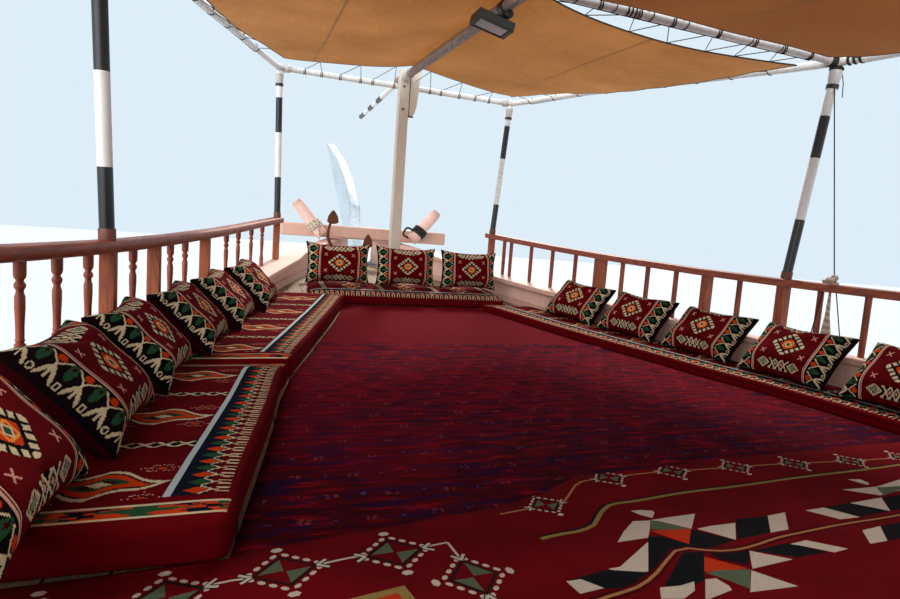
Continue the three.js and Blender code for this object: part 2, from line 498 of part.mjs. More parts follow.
// ---------- wheelhouse ----------
const HOUSE = { x: 1250, y0: -6300, y1: -3350, wall: 50, high: 2020 };
const houseLow = Math.max(deckZ(HOUSE.y0), deckZ(HOUSE.y1)) + 2;
const houseTop = houseLow + HOUSE.high;
const shell = cut(box(-HOUSE.x, HOUSE.y0, 1000, HOUSE.x, HOUSE.y1, houseTop),
  box(-HOUSE.x + HOUSE.wall, HOUSE.y0 + HOUSE.wall, 900, HOUSE.x - HOUSE.wall, HOUSE.y1 - HOUSE.wall, houseTop + 100));
const DOOR = { y0: -5150, y1: -4400, z0: houseLow + 60, z1: houseLow + 1880 };
const SILL = houseLow + 950, HEAD = houseLow + 1720;
const windows = [
  ...[[-1130, -440], [-370, 370], [440, 1130]].map(([a, b]) => box(a, HOUSE.y1 - 60, SILL, b, HOUSE.y1 + 60, HEAD)),
  box(-1150, -4250, SILL, -1400, -3500, HEAD), box(-1150, -6150, SILL, -1400, -5300, HEAD),
  box(1150, -4300, SILL, 1400, -3500, HEAD), box(1150, -5250, SILL, 1400, -4450, HEAD), box(1150, -6150, SILL, 1400, -5400, HEAD),
  box(-900, HOUSE.y0 - 200, SILL, -150, HOUSE.y0 + 200, HEAD), box(150, HOUSE.y0 - 200, SILL, 900, HOUSE.y0 + 200, HEAD),
];
const doorway = box(-1150, DOOR.y0, DOOR.z0, -1400, DOOR.y1, DOOR.z1);
const HELM = { y: -3860, z: houseLow + 1030, r: 330 };
const consoleBox = box(-300, HOUSE.y1 - HOUSE.wall - 350, 1000, 300, HOUSE.y1 - HOUSE.wall + 10, houseLow + 1180);
const helmBore = bar([V(0, HELM.y, HELM.z), V(0, HELM.y + 300, HELM.z)], 18, 12);
// lift-off hinges: the wall's knuckles carry the leaf's
const HINGE = { x: -HOUSE.x - 12, y: -4404, r: 10, high: 60, at: [DOOR.z0 + 250, DOOR.z1 - 370] };
const knuckle = (z, leafSide) => join(
  bar([V(HINGE.x, HINGE.y, z), V(HINGE.x, HINGE.y, z + HINGE.high)], HINGE.r, 12),
  leafSide
    ? box(HINGE.x - 8, HINGE.y - 40, z, HINGE.x + 14, HINGE.y, z + HINGE.high)
    : box(HINGE.x - 6, HINGE.y, z, HINGE.x + 18, HINGE.y + 40, z + HINGE.high));
piece("wheelhouse", cut(join(shell, consoleBox, ...HINGE.at.map((z) => knuckle(z, false))), ...windows, doorway, helmBore, underDeck(-6700, -3000)));
piece("wheelhouse_roof", box(-HOUSE.x - 180, HOUSE.y0 - 180, houseTop + GAP, HOUSE.x + 180, HOUSE.y1 + 220, houseTop + 70));
const leaf = box(-HOUSE.x - 2, DOOR.y0 + 8, DOOR.z0 + 8, -HOUSE.x + 38, DOOR.y1 - 8, DOOR.z1 - 8);
const pane = box(-1150, DOOR.y0 + 160, houseLow + 1000, -1400, DOOR.y1 - 160, houseLow + 1720);
const knob = new THREE.CylinderGeometry(22, 22, 60, 10).rotateZ(Math.PI / 2).translate(-HOUSE.x - 28, DOOR.y0 + 90, houseLow + 950);
piece("wheelhouse_door", join(cut(leaf, pane), knob,
  ...HINGE.at.map((z) => knuckle(z + HINGE.high + 0.5, true))));

const spokes = Array.from({ length: 8 }, (_, i) => {
  const a = (2 * Math.PI * (i + 0.5)) / 8, q = (r) => V(r * Math.cos(a), 0, r * Math.sin(a));
  return bar([q(20), q(HELM.r + 95)], [15, 13], 6);
});
const rim = new THREE.TorusGeometry(HELM.r, 22, 6, 24).rotateX(Math.PI / 2);
const hub = bar([V(0, -35, 0), V(0, 220, 0)], 17, 8);
const boss = bar([V(0, -35, 0), V(0, 35, 0)], 60, 12);
piece("helm_wheel", join(rim, boss, hub, ...spokes).translate(0, HELM.y - 50, HELM.z));

// ---------- engine and its hatch ----------
piece("engine", box(-ENGINE.x, ENGINE.y0, ENGINE.z0, ENGINE.x, ENGINE.y1, ENGINE.z1));
piece("engine_hatch", box(-HATCH.x - HATCH.wall - 20, HATCH.y0 - HATCH.wall - 20, hatchZ + 0.5,
  HATCH.x + HATCH.wall + 20, HATCH.y1 + HATCH.wall + 20, hatchZ + 45));

// ---------- rudder and propeller ----------
// the rudder turns on the sternpost's raked after edge
const PINTLE = { low: [-7103, -1560], high: [-8053, 1000], r: 40 };
const rk = Math.atan2(PINTLE.low[0] - PINTLE.high[0], PINTLE.high[1] - PINTLE.low[1]); // rake of the axis
const along = (t, back) => {
  const [y0, z0] = PINTLE.low, [y1, z1] = PINTLE.high, L = Math.hypot(y1 - y0, z1 - z0);
  const dy = (y1 - y0) / L, dz = (z1 - z0) / L;
  return [y0 + dy * t + dz * -back, z0 + dz * t + dy * back];
};
const at3 = ([y, z]) => V(0, y, z);
piece("rudder", join(
  plate([along(20, 10), along(0, 820), along(900, 780), along(1500, 560), along(1900, 300),
    along(2950, 260), along(2950, 10)], -38, 38),
  bar([at3(along(10, 0)), at3(along(2990, 0))], PINTLE.r, 12),
));
const blades = Array.from({ length: 3 }, (_, i) => {
  const rings = [60, 170, 290, 370, PROP.r - 6].map((r, k) => {
    const w = [55, 120, 150, 120, 30][k], p = rad([58, 40, 28, 22, 18][k]);
    return [[-w, 5], [0, 12], [w, 5], [w, -5], [0, -12], [-w, -5]].map(([a, b]) =>
      V(a * Math.cos(p) - b * Math.sin(p), a * Math.sin(p) + b * Math.cos(p), r));
  });
  return loft(rings).rotateY((2 * Math.PI * i) / 3);
});
piece("propeller", join(
  bar([V(0, -130, 0), V(0, -60, 0), V(0, 120, 0)], [30, 82, 74], 12),
  bar([V(0, 100, 0), V(0, 780, 0)], 30, 10), ...blades,
).translate(0, PROP.y, PROP.z));

export default boat;
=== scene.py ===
# %% [markdown]
# # A wooden dhow and its carpeted foredeck
# The boat is a motor dhow of the Gulf, about twenty metres from sternpost to stem
# head.  Its foredeck is a sitting room: mattresses along both rails and across the
# bow, kilim cushions on them, a red pile carpet between and a flat-woven kilim in
# front, all in the shade of a laced canvas awning.
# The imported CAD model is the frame.  Every piece made here is worked out in metres in
# that same frame, so a piece goes where the CAD says.

# %% Load the frame
import math

import bmesh
import bpy
import numpy as np
from mathutils import Matrix, Vector
from mathutils.geometry import delaunay_2d_cdt


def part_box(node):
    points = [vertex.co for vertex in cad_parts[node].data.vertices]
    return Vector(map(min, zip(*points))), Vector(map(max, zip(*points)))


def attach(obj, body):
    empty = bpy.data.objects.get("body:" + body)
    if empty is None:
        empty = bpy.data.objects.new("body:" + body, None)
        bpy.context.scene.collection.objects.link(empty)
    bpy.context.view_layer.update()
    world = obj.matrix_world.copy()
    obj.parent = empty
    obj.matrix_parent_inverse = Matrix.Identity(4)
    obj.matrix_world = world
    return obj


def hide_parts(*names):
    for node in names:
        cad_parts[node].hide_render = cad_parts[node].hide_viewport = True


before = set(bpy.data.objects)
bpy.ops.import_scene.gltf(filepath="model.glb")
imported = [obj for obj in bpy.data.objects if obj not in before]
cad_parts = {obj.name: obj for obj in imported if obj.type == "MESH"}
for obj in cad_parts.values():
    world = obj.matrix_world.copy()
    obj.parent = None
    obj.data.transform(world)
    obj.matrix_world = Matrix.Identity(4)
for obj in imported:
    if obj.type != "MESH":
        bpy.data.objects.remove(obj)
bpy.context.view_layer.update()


def placed(name, data):
    """A new object in the scene, at the frame's origin."""
    made = bpy.data.objects.new(name, data)
    bpy.context.scene.collection.objects.link(made)
    return made

# %% [markdown]
# ## The camera
# The picture was taken by someone standing amidships, a little to port, with the lens
# 0.7 m above the deck.  A camera is placed by the three directions it has: what is
# right, what is up and what is ahead.  They were solved from the rails and the posts.

# %% Camera
RIGHT = Vector((0.9436, -0.3235, 0.0701)).normalized()
AHEAD = Vector((0.3293, 0.9389, -0.1002)).normalized()
UP = RIGHT.cross(AHEAD).normalized()
EYE = (-1.43, -0.058, 1.938)
camera_data = bpy.data.cameras.new("camera")
camera_data.sensor_width, camera_data.lens, camera_data.clip_start = 36.0, 23.52, 0.02
camera = placed("camera", camera_data)
camera.matrix_world = Matrix((
    (RIGHT.x, UP.x, -AHEAD.x, EYE[0]), (RIGHT.y, UP.y, -AHEAD.y, EYE[1]),
    (RIGHT.z, UP.z, -AHEAD.z, EYE[2]), (0, 0, 0, 1)))
bpy.context.scene.camera = camera
print("eye", EYE, "lens", camera_data.lens)

# %% [markdown]
# ## The lines of the boat
# A shipwright draws a boat as a few long curves: the half breadth, the sheer of the
# deck, the rise of the keel.  Each is a table of (place along Y, value) joined by a
# curve that never swings past its own points, so the sides stay fair.  They could be
# traced from the CAD mesh, but the same tables give smooth pieces of any fineness.

# %% Fair curves
def cubic(t, run, a, b, slope_a, slope_b):
    """The cubic from a to b over a run, with those slopes at its ends; t goes from 0 to 1."""
    return ((2 * t**3 - 3 * t**2 + 1) * a + (t**3 - 2 * t**2 + t) * run * slope_a
            + (3 * t**2 - 2 * t**3) * b + (t**3 - t**2) * run * slope_b)


def fair(table):
    """Monotone cubic through (at, value): each slope is the harmonic mean of its neighbours."""
    x, y = np.array(table, float).T
    h, d = np.diff(x), np.diff(y) / np.diff(x)
    w1, w2 = 2 * h[1:] + h[:-1], h[1:] + 2 * h[:-1]
    same = d[:-1] * d[1:] > 0
    safe = np.where(same, d[:-1], 1), np.where(same, d[1:], 1)
    inner = np.where(same, (w1 + w2) / (w1 / safe[0] + w2 / safe[1]), 0)
    m = np.concatenate([[d[0]], inner, [d[-1]]])

    def at(v):
        q = np.clip(v, x[0], x[-1])
        i = np.clip(np.searchsorted(x, q) - 1, 0, len(h) - 1)
        return cubic((q - x[i]) / h[i], h[i], y[i], y[i + 1], m[i], m[i + 1])
    return at


STATIONS = np.array([-8.15, -7.6, -7, -6.2, -5.4, -4.4, -3.2, -1.9, -0.6, 0.6, 1.5, 2.3, 2.95,
                     3.6, 4.3, 5, 5.6, 6.1, 6.6, 7.1, 7.5, 7.9])


def sheer(y):
    """Height of the deck: 1.15 m at Y 1.7, rising as the square of the distance from there."""
    y = np.asarray(y, float)
    return 1.15 + np.where(y > 1.7, 0.0117, 0.0065) * (y - 1.7) ** 2


def deck_z(y):
    """The deck as built: straight runs of the sheer between the stations."""
    return np.interp(y, STATIONS, sheer(STATIONS))


half_beam = fair([(-8.2, 1.48), (-7, 1.79), (-6, 1.99), (-3, 2.35), (-0.5, 2.42), (1.5, 2.29),
                  (2.85, 1.99), (4.4, 1.63), (6.05, 1.155), (7.2, 0.62), (7.95, 0.15)])
keel_z = fair([(-8.2, 0.62), (-7.3, 0.15), (-6.5, -0.35), (-5.6, -0.86), (-4.5, -1.12),
               (-3, -1.23), (0, -1.25), (3, -1.14), (4.5, -0.9), (5.6, -0.48), (6.4, 0.17),
               (7.1, 0.85), (7.95, 1.5)])
fullness = fair([(-8.2, 0.8), (-7, 0.72), (-5.5, 0.5), (-3, 0.34), (0, 0.3), (3, 0.33),
                 (5, 0.45), (6.5, 0.62), (7.95, 0.8)])
PORT_AND_STARBOARD = (("port", -1), ("starboard", 1))
bulwark_high = fair([(-8.2, 0.25), (5.4, 0.25), (7.45, 0.312), (7.95, 0.345)])
shelf = fair([(-8.15, 0.04), (4.3, 0.04), (5, 0.15), (6.1, 0.15), (6.6, 0.08), (7.9, 0.06)])
DECK_THICK, PLANK, CAP_HIGH = 0.04, 0.06, 0.67


def gunwale_z(y):
    return deck_z(y) + bulwark_high(y)


print("beam", round(2 * float(half_beam(-0.5)), 2), "m; deck at the bow", round(float(deck_z(6.0)), 3))

# %% [markdown]
# ## From numbers to pieces
# Every new piece is a grid of points, rows by columns, that numpy works out at once.
# `skin` covers such a grid with quads and carries a UV in metres, so that a weave or a
# grain has its real size on it.  `piece` puts several skins into one Blender mesh,
# turns it so that it faces out, and gives it a body, a finish and a name.

# %% Grids, skins and pieces
UP_X = (1, 0, 0.02)  # the up direction for upright tubes


def skin(points, uv=None, closed=False, caps=False):
    """Quads over a grid points[row, column]; closed joins the last column to the first.

    Returns (points, corners, corners per face, UV per corner).
    The UV is the distance walked along the rows' and columns' middle lines.
    """
    rows, cols = points.shape[:2]
    across = cols if closed else cols - 1
    if uv is None:
        ringed = np.concatenate([points, points[:, :1]], 1) if closed else points
        u = np.linalg.norm(np.diff(ringed, axis=1), axis=2).cumsum(1).mean(0)
        v = np.linalg.norm(np.diff(points, axis=0), axis=2).mean(1).cumsum()
        uv = np.stack(np.meshgrid(np.r_[0, u], np.r_[0, v]), -1)
    i, j = (a.ravel() for a in np.meshgrid(np.arange(rows - 1), np.arange(across), indexing="ij"))
    k = (j + 1) % cols
    corners = np.stack([i * cols + j, i * cols + k, (i + 1) * cols + k, (i + 1) * cols + j], 1)
    at = np.stack([uv[i, j], uv[i, j + 1], uv[i + 1, j + 1], uv[i + 1, j]], 1)
    corners, at, sizes = corners.ravel(), at.reshape(-1, 2), np.full(len(i), 4)
    if caps:
        low, high = np.arange(cols)[::-1], (rows - 1) * cols + np.arange(cols)
        corners = np.concatenate([corners, low, high])
        flat = points.reshape(-1, 3)
        ends = [flat[e] - flat[e].mean(0) for e in (low, high)]
        wide = [np.argsort(-np.ptp(e, 0))[:2] for e in ends]
        at = np.concatenate([at] + [e[:, np.sort(w)] + [0, 8] for e, w in zip(ends, wide)])
        sizes = np.concatenate([sizes, [cols, cols]])
    return points.reshape(-1, 3), corners, sizes, at


def volume(points, corners, sizes):
    """Signed volume: the sum over the faces' fans of a . (b x c) / 6."""
    fans = sizes - 2
    start = np.repeat(np.cumsum(sizes) - sizes, fans)
    step = 1 + np.arange(len(start)) - np.repeat(np.cumsum(fans) - fans, fans)
    a, b, c = (points[corners[start + s]] for s in (0, step, step + 1))
    return float(np.einsum("ij,ij->i", a, np.cross(b, c)).sum() / 6)


def outward(shape):
    """The same shape with its faces turned out, if its volume comes out negative."""
    points, corners, sizes, uv = shape
    if volume(points - points.mean(0), corners, sizes) >= 0:
        return shape
    start = np.cumsum(sizes) - sizes
    within = np.arange(len(corners)) - np.repeat(start, sizes)
    order = np.repeat(start + sizes - 1, sizes) - within
    return points, corners[order], sizes, uv[order]


def finished(made, body="boat", instead=None, bevel=0.0):
    if bevel:
        edges = made.modifiers.new("eased edges", "BEVEL")
        edges.width, edges.segments, edges.limit_method = bevel, 2, "ANGLE"
        edges.angle_limit = math.radians(35)
    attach(made, body)
    if instead:
        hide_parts(instead)
    return made


def piece(name, shapes, material, instead=None, crease=35.0, bevel=0.0, thick=0.0, values=None):
    """One object from a list of shapes.

    crease is the angle, in degrees, that stays sharp; thick turns open skins, which face
    up or out already, into sheets of that thickness; values are numbers on the faces.
    """
    if not thick:
        shapes = [outward(s) for s in shapes]
    offsets = np.cumsum([0] + [len(s[0]) for s in shapes[:-1]])
    points, sizes, uv = (np.concatenate([s[k] for s in shapes]) for k in (0, 2, 3))
    corners = np.concatenate([s[1] + o for s, o in zip(shapes, offsets)])
    mesh = bpy.data.meshes.new(name)
    mesh.vertices.add(len(points))
    mesh.vertices.foreach_set("co", points.astype(np.float32).ravel())
    mesh.loops.add(len(corners))
    mesh.loops.foreach_set("vertex_index", corners.astype(np.int32))
    mesh.polygons.add(len(sizes))
    mesh.polygons.foreach_set("loop_start", (np.cumsum(sizes) - sizes).astype(np.int32))
    mesh.update(calc_edges=True)
    mesh.uv_layers.new(name="metres").uv.foreach_set("vector", uv.astype(np.float32).ravel())
    if values is not None:
        mesh.attributes.new("band", "FLOAT", "FACE").data.foreach_set("value", np.asarray(values, np.float32))
    mesh.polygons.foreach_set("use_smooth", np.full(len(sizes), True))
    mesh.set_sharp_from_angle(angle=math.radians(crease))
    mesh.materials.append(material)
    made = placed(name, mesh)
    if thick:
        sheet = made.modifiers.new("thickness", "SOLIDIFY")
        sheet.thickness, sheet.offset = thick, -1
    return finished(made, "boat", instead, bevel)


def block(low, high):
    """A box between two corners, as a closed skin of four sides and two caps."""
    (x0, y0, z0), (x1, y1, z1) = low, high
    ring = np.array([[y0, z0], [y1, z0], [y1, z1], [y0, z1]])
    return skin(np.array([[[x, *p] for p in ring] for x in (x0, x1)]), closed=True, caps=True)


def tube(path, radius, sides=12, up=(0.13, 0.21, 0.97)):
    """A round bar: circles of the radius, square to the path's direction; up may not lie along the path."""
    path = np.asarray(path, float)
    way = np.gradient(path, axis=0)
    way /= np.linalg.norm(way, axis=1, keepdims=True)
    side = np.cross(np.array(up), way)
    side /= np.linalg.norm(side, axis=1, keepdims=True)
    rise = np.cross(way, side)
    turn = (np.arange(sides) * 2 * np.pi / sides)[None, :, None]
    ring = np.cos(turn) * side[:, None] + np.sin(turn) * rise[:, None]
    r = np.broadcast_to(radius, (len(path),))
    return skin(path[:, None] + r[:, None, None] * ring, closed=True, caps=True)


def smooth_path(points, count):
    """The points joined by a cubic in each coordinate, at even steps of length."""
    points = np.asarray(points, float)
    run = np.r_[0, np.linalg.norm(np.diff(points, axis=0), axis=1).cumsum()]
    at = np.linspace(0, run[-1], count)
    slope = np.gradient(points, run, axis=0)
    i = np.clip(np.searchsorted(run, at, side="right") - 1, 0, len(run) - 2)
    h = (run[i + 1] - run[i])[:, None]
    return cubic((at - run[i])[:, None] / h, h, points[i], points[i + 1], slope[i], slope[i + 1])


def turning(profile, foot, top, sides=16):
    """A turned piece: the profile (radius, share of the length) carried round the line from foot to top."""
    r, share = np.array(profile, float).T
    foot, top = np.asarray(foot, float), np.asarray(top, float)
    return tube(foot + share[:, None] * (top - foot), r, sides, UP_X)


def ring_along(side, y, ring):
    """A closed ring of (x, z), each a row of numbers along y, carried along one side of the boat."""
    x, z = (np.stack(column, 1) for column in zip(*ring))
    return skin(np.stack([side * x, np.broadcast_to(y[:, None], x.shape), z], -1), closed=True, caps=True)


def moved(shape, matrix):
    """The shape with its points multiplied by a 4 x 4 matrix."""
    m = np.array(matrix)
    return (shape[0] @ m[:3, :3].T + m[:3, 3], *shape[1:])

# %% [markdown]
# ## Writing a pattern as a formula
# A kilim is woven knot by knot, so its pattern is arithmetic on two counts of knots.
# `Field` stands for one value that changes over the surface, and + - * / < > on it make
# the Math nodes, so that a motif is written down as a sum in a line or two.

# %% Fields
drawing = None  # the node tree being drawn: `new_material` and `group` open one, the other calls add to it


def put(target, value):
    """Links a Field or a socket to an input, or sets the input to a plain value."""
    value = value.socket if isinstance(value, Field) else value
    if isinstance(value, bpy.types.NodeSocket):
        drawing.links.new(value, target)
    else:
        target.default_value = value


def add_node(kind, inputs=(), **settings):
    """A node with its settings, and its inputs by name or number: a Field, a socket or a plain value."""
    node = drawing.nodes.new("ShaderNode" + kind)
    for key, value in settings.items():
        setattr(node, key, value)
    for key, value in dict(inputs).items():
        put(node.inputs[key], value)
    return node


def math_node(operation):
    """A method that puts its Field and its other operands through one Math node."""
    return lambda *operands: Field(add_node("Math", enumerate(operands), operation=operation).outputs[0])


class Field:
    """One socket of the node tree, with arithmetic.  a < b and a > b give 1 where true."""

    def __init__(self, socket):
        self.socket = socket

    __add__, __sub__, __mul__, __truediv__ = (math_node(o) for o in ("ADD", "SUBTRACT", "MULTIPLY", "DIVIDE"))
    __lt__, __gt__, __and__, __or__ = (math_node(o) for o in ("LESS_THAN", "GREATER_THAN", "MULTIPLY", "MAXIMUM"))
    __abs__, floor, fract, sine, fold = (math_node(o) for o in ("ABSOLUTE", "FLOOR", "FRACT", "SINE", "PINGPONG"))
    wrap = math_node("WRAP")

    def __rsub__(self, other): return math_node("SUBTRACT")(other, self)
    def __invert__(self): return 1 - self
    def repeat(self, period): return self.wrap(period / 2, -period / 2)
    def within(self, low, high): return (self > low) & (self < high)


def ink(r, g, b):
    """A dye or a paint given as a screen colour from 0 to 255, turned to the linear scale that light adds in."""
    c = np.array([r, g, b]) / 255
    return (*np.where(c <= 0.04045, c / 12.92, ((c + 0.055) / 1.055) ** 2.4).tolist(), 1.0)


def mixed(share, under, over, blend="MIX"):
    """The colour under, with the colour over laid on it by the share."""
    return add_node("Mix", {0: share, 6: under, 7: over}, data_type="RGBA", blend_type=blend).outputs[2]


def noise(vector, scale, detail=2.0, roughness=0.5):
    inputs = {"Vector": vector, "Scale": scale, "Detail": detail, "Roughness": roughness}
    return Field(add_node("TexNoise", inputs).outputs[0])


def stretch(vector, scale, rotation=(0, 0, 0)):
    return add_node("Mapping", {"Vector": vector, "Scale": scale, "Rotation": rotation}).outputs[0]


def drawn_out(vector, scale, detail):
    """Noise at the given scales along x, y and z: threads, fibres, runs and brush marks."""
    return noise(stretch(vector, scale), 1.0, detail)


def parts(vector):
    """The three coordinates of a vector, as Fields."""
    return [Field(o) for o in add_node("SeparateXYZ", {0: vector}).outputs]


def joined(*coordinates):
    return add_node("CombineXYZ", enumerate(coordinates)).outputs[0]


def shades(value, dark, mid, light):
    """A ramp through the dark, middle and light tones of one material."""
    ramp = add_node("ValToRGB", {"Fac": value})
    ramp.color_ramp.elements.new(0.5)
    for element, place, colour in zip(ramp.color_ramp.elements, (0.25, 0.5, 0.78), (dark, mid, light)):
        element.position, element.color = place, ink(*colour)
    return ramp.outputs[0]


def span(value, low, high, to_low=0.0, to_high=1.0):
    inputs = {"Value": value, "From Min": low, "From Max": high, "To Min": to_low, "To Max": to_high}
    return Field(add_node("MapRange", inputs).outputs[0])


def group(name, inputs, outputs):
    """Opens a new shader node group; returns it, its inputs and a function that fills its outputs."""
    global drawing
    drawing = bpy.data.node_groups.new(name, "ShaderNodeTree")
    kinds = {float: "NodeSocketFloat", Vector: "NodeSocketVector"}
    for label, value in inputs.items():
        socket = drawing.interface.new_socket(label, in_out="INPUT", socket_type=kinds[type(value)])
        socket.default_value = value
    for label in outputs:
        drawing.interface.new_socket(label, in_out="OUTPUT", socket_type="NodeSocketFloat")
    start, end = drawing.nodes.new("NodeGroupInput"), drawing.nodes.new("NodeGroupOutput")

    def fill(**values):
        for label, value in values.items():
            put(end.inputs[label], value)
    return drawing, [Field(start.outputs[label]) for label in inputs], fill


def use(shared, **inputs):
    """A shared group placed in the tree; returns its outputs by name."""
    return {o.name: Field(o) for o in add_node("Group", inputs, node_tree=shared).outputs}

# %% [markdown]
# ## Effects that many finishes share
# Wood grain, woven thread, and the wear and dust of an open boat turn up on almost
# every surface.  Each is made once as a node group, and every finish places it with
# its own size and strength.

# %% Grain, weave and weathering
GRAIN, (place, figure), fill = group("grain", {"Place": Vector(), "Figure": 1.0}, ("Tone", "Fibre"))
# fibres: noise squeezed 30 times along the length; figure: slow bands bent by a wider noise
fibre = noise(stretch(place, (160, 160, 5)), 1.0, 4.0, 0.65)
bend = drawn_out(place, (9, 9, 0.9), 2.0)
bands = (bend * figure * 14).fold(0.5) * 2
fill(Tone=fibre * 0.45 + bands * 0.35 + bend * 0.2, Fibre=fibre)

WEAVE, (place, pitch), fill = group("weave", {"Place": Vector(), "Pitch": 0.003}, ("Height", "Shade"))
u, v, _ = parts(place)
# over and under: a hump along u where the thread lies over, along v where it lies under
over, under = (((w / pitch) * math.pi).sine() for w in (u, v))
height = (over * under) * 0.5 + 0.5
fluff = noise(place, 900.0)
# the second output is painted shade: darker where a thread dips between its neighbours, with a little fluff
fill(Height=height * 0.8 + fluff * 0.4, Shade=span(height + fluff * 0.5, 0.2, 1.2, 0.72, 1.08))

WEATHER, (place, amount), fill = group("weather", {"Place": Vector(), "Amount": 0.5}, ("Stain", "Chips", "Worn"))
broad, fine = noise(place, 1.7, 5.0, 0.6), noise(place, 38.0, 4.0, 0.7)
edge = Field(add_node("NewGeometry").outputs["Pointiness"])
fill(Stain=span(broad * 0.7 + fine * 0.3, 0.42, 0.7) * amount,
     Chips=span(fine * 0.75 + broad * 0.25, 0.62, 0.66) * amount,
     Worn=span(edge + (fine - 0.5) * 0.06, 0.515, 0.56) * amount)
print("groups", [g.name for g in (GRAIN, WEAVE, WEATHER)])

# %% [markdown]
# ## Wood, paint, metal
# The handrails are red-brown hardwood under old varnish; the bulwarks, bitts and beam
# are the same wood under salmon paint; pipes and posts are enamelled steel.  Each kind
# of surface is a recipe below, and one line gives a material its tones.

# %% Hard finishes
ALONG_Y = (math.pi / 2, 0, 0)  # turns the grain, which runs along Z, to run along Y
CAULK_HALF = 0.004


def new_material(name):
    """Opens a new material; returns it, its surface shader, the place in the object's frame and the UV."""
    global drawing
    made = bpy.data.materials.new(name)
    made.use_nodes = True
    drawing = made.node_tree
    coords = add_node("TexCoord").outputs
    return made, drawing.nodes["Principled BSDF"], coords["Object"], coords["UV"]


def surface(shader, colour, rough, height, strength, distance, **more):
    """Fills the surface shader: its colour, roughness, bump and any other input, by its name with _ for a space."""
    bump = add_node("Bump", {"Height": height, "Strength": strength, "Distance": distance}).outputs[0]
    for key, value in {"Base Color": colour, "Roughness": rough, "Normal": bump, **more}.items():
        put(shader.inputs[key.replace("_", " ")], value)


def wood(name, dark, mid, light, rough, wear, figure=1.0, coat=0.0, along_y=True, seams=None, worn=(150, 125, 100)):
    """Grain along Z or Y; with seams, planks of that width side by side along X with caulk between."""
    made, shader, spot, _ = new_material(name)
    place = stretch(spot, (1, 1, 1), ALONG_Y if along_y else (0, 0, 0))
    if seams:
        across = parts(spot)[0] / seams
        board = across.floor()
        shift = joined(board * 0.37, board * 0.61, board * 1.73)
        place = add_node("VectorMath", {0: place, 1: shift}, operation="ADD").outputs[0]
    got = use(GRAIN, Place=place, Figure=figure)
    tone = got["Tone"]
    if seams:  # each board's own tone, from the hash fract(sin(12.9898 n) * 43.7)
        tone = tone + ((board * 12.9898).sine() * 43.7).fract() * 0.3 - 0.15
    colour = shades(tone, dark, mid, light)
    old = use(WEATHER, Place=spot, Amount=wear)
    colour = mixed(old["Worn"] * 0.7, colour, ink(*worn))
    colour = mixed(old["Stain"] * 0.35, colour, ink(*dark))
    height = got["Fibre"] * 0.4
    if seams:
        seam = abs(across - (across + 0.5).floor()) < CAULK_HALF / seams
        colour = mixed(seam, colour, ink(24, 20, 18))
        height = height - seam * 2.0
    surface(shader, colour, got["Fibre"] * 0.25 + old["Stain"] * 0.2 + (rough - 0.12), height, 0.35, 0.0008,
            Coat_Weight=coat, Coat_Roughness=0.28)
    return made


def paint(name, colour, under, wear=0.5, rough=0.5, fade=None, coat=0.0, streak=0.0):
    """Brushed paint: a little fading, stains in patches, and the wood or steel under it at chips and edges."""
    made, shader, spot, _ = new_material(name)
    old = use(WEATHER, Place=spot, Amount=wear)
    brush = drawn_out(spot, (60, 60, 6), 3.0)
    faded = fade or [min(255, c + 16) for c in colour]
    base = mixed(span(brush, 0.3, 0.7, 0.0, 0.5), ink(*colour), ink(*faded))
    base = mixed(old["Stain"] * 0.45, base, ink(*[c * 0.62 for c in colour]))
    if streak:
        run = drawn_out(spot, (14, 14, 0.7), 3.0)
        base = mixed(span(run, 0.55, 0.75) * streak, base, ink(*[c * 0.55 for c in colour]))
    base = mixed(old["Chips"] | old["Worn"], base, ink(*under))
    surface(shader, base, old["Stain"] * 0.25 + brush * 0.12 + (rough - 0.06), brush * 0.5 - old["Chips"] * 0.6,
            0.35, 0.0006, Coat_Weight=coat)
    return made


def metal(name, colour, rough, rust, metallic):
    """Worked metal with rust or verdigris in patches."""
    made, shader, spot, _ = new_material(name)
    patches, pits = noise(spot, 17.0, 6.0, 0.7), noise(spot, 160.0, 3.0, 0.6)
    share = span(patches * 0.7 + pits * 0.3, 0.62 - 0.35 * rust, 0.68 - 0.2 * rust)
    colour = mixed(pits, ink(*[c * 0.75 for c in colour]), ink(*colour))
    ramp = add_node("ValToRGB", {"Fac": pits})
    for element, at, rusty in zip(ramp.color_ramp.elements, (0.3, 0.7), ((66, 34, 20), (132, 70, 38))):
        element.position, element.color = at, ink(*rusty)
    colour = mixed(share * min(1.0, rust * 2), colour, ramp.outputs[0])
    surface(shader, colour, share * 0.4 + (rough - 0.05) + pits * 0.1, pits + share * 0.8, 0.4, 0.0007,
            Metallic=~share * metallic)
    return made


def rope_finish(name, colour, dark):
    """Three-strand line: the UV runs round and along, and diagonal grooves part the strands."""
    made, shader, _, uv = new_material(name)
    u, v, _ = parts(uv)
    groove = (u * 90 + v * 150).sine() * 0.5 + 0.5
    hair = drawn_out(uv, (900, 300, 1), 2.0)
    # painted shade: the colour is darker in the grooves between the strands
    colour = mixed(groove * 0.6 + hair * 0.4, ink(*dark), ink(*colour))
    surface(shader, colour, 0.9, groove + hair * 0.4, 0.7, 0.0015)
    return made


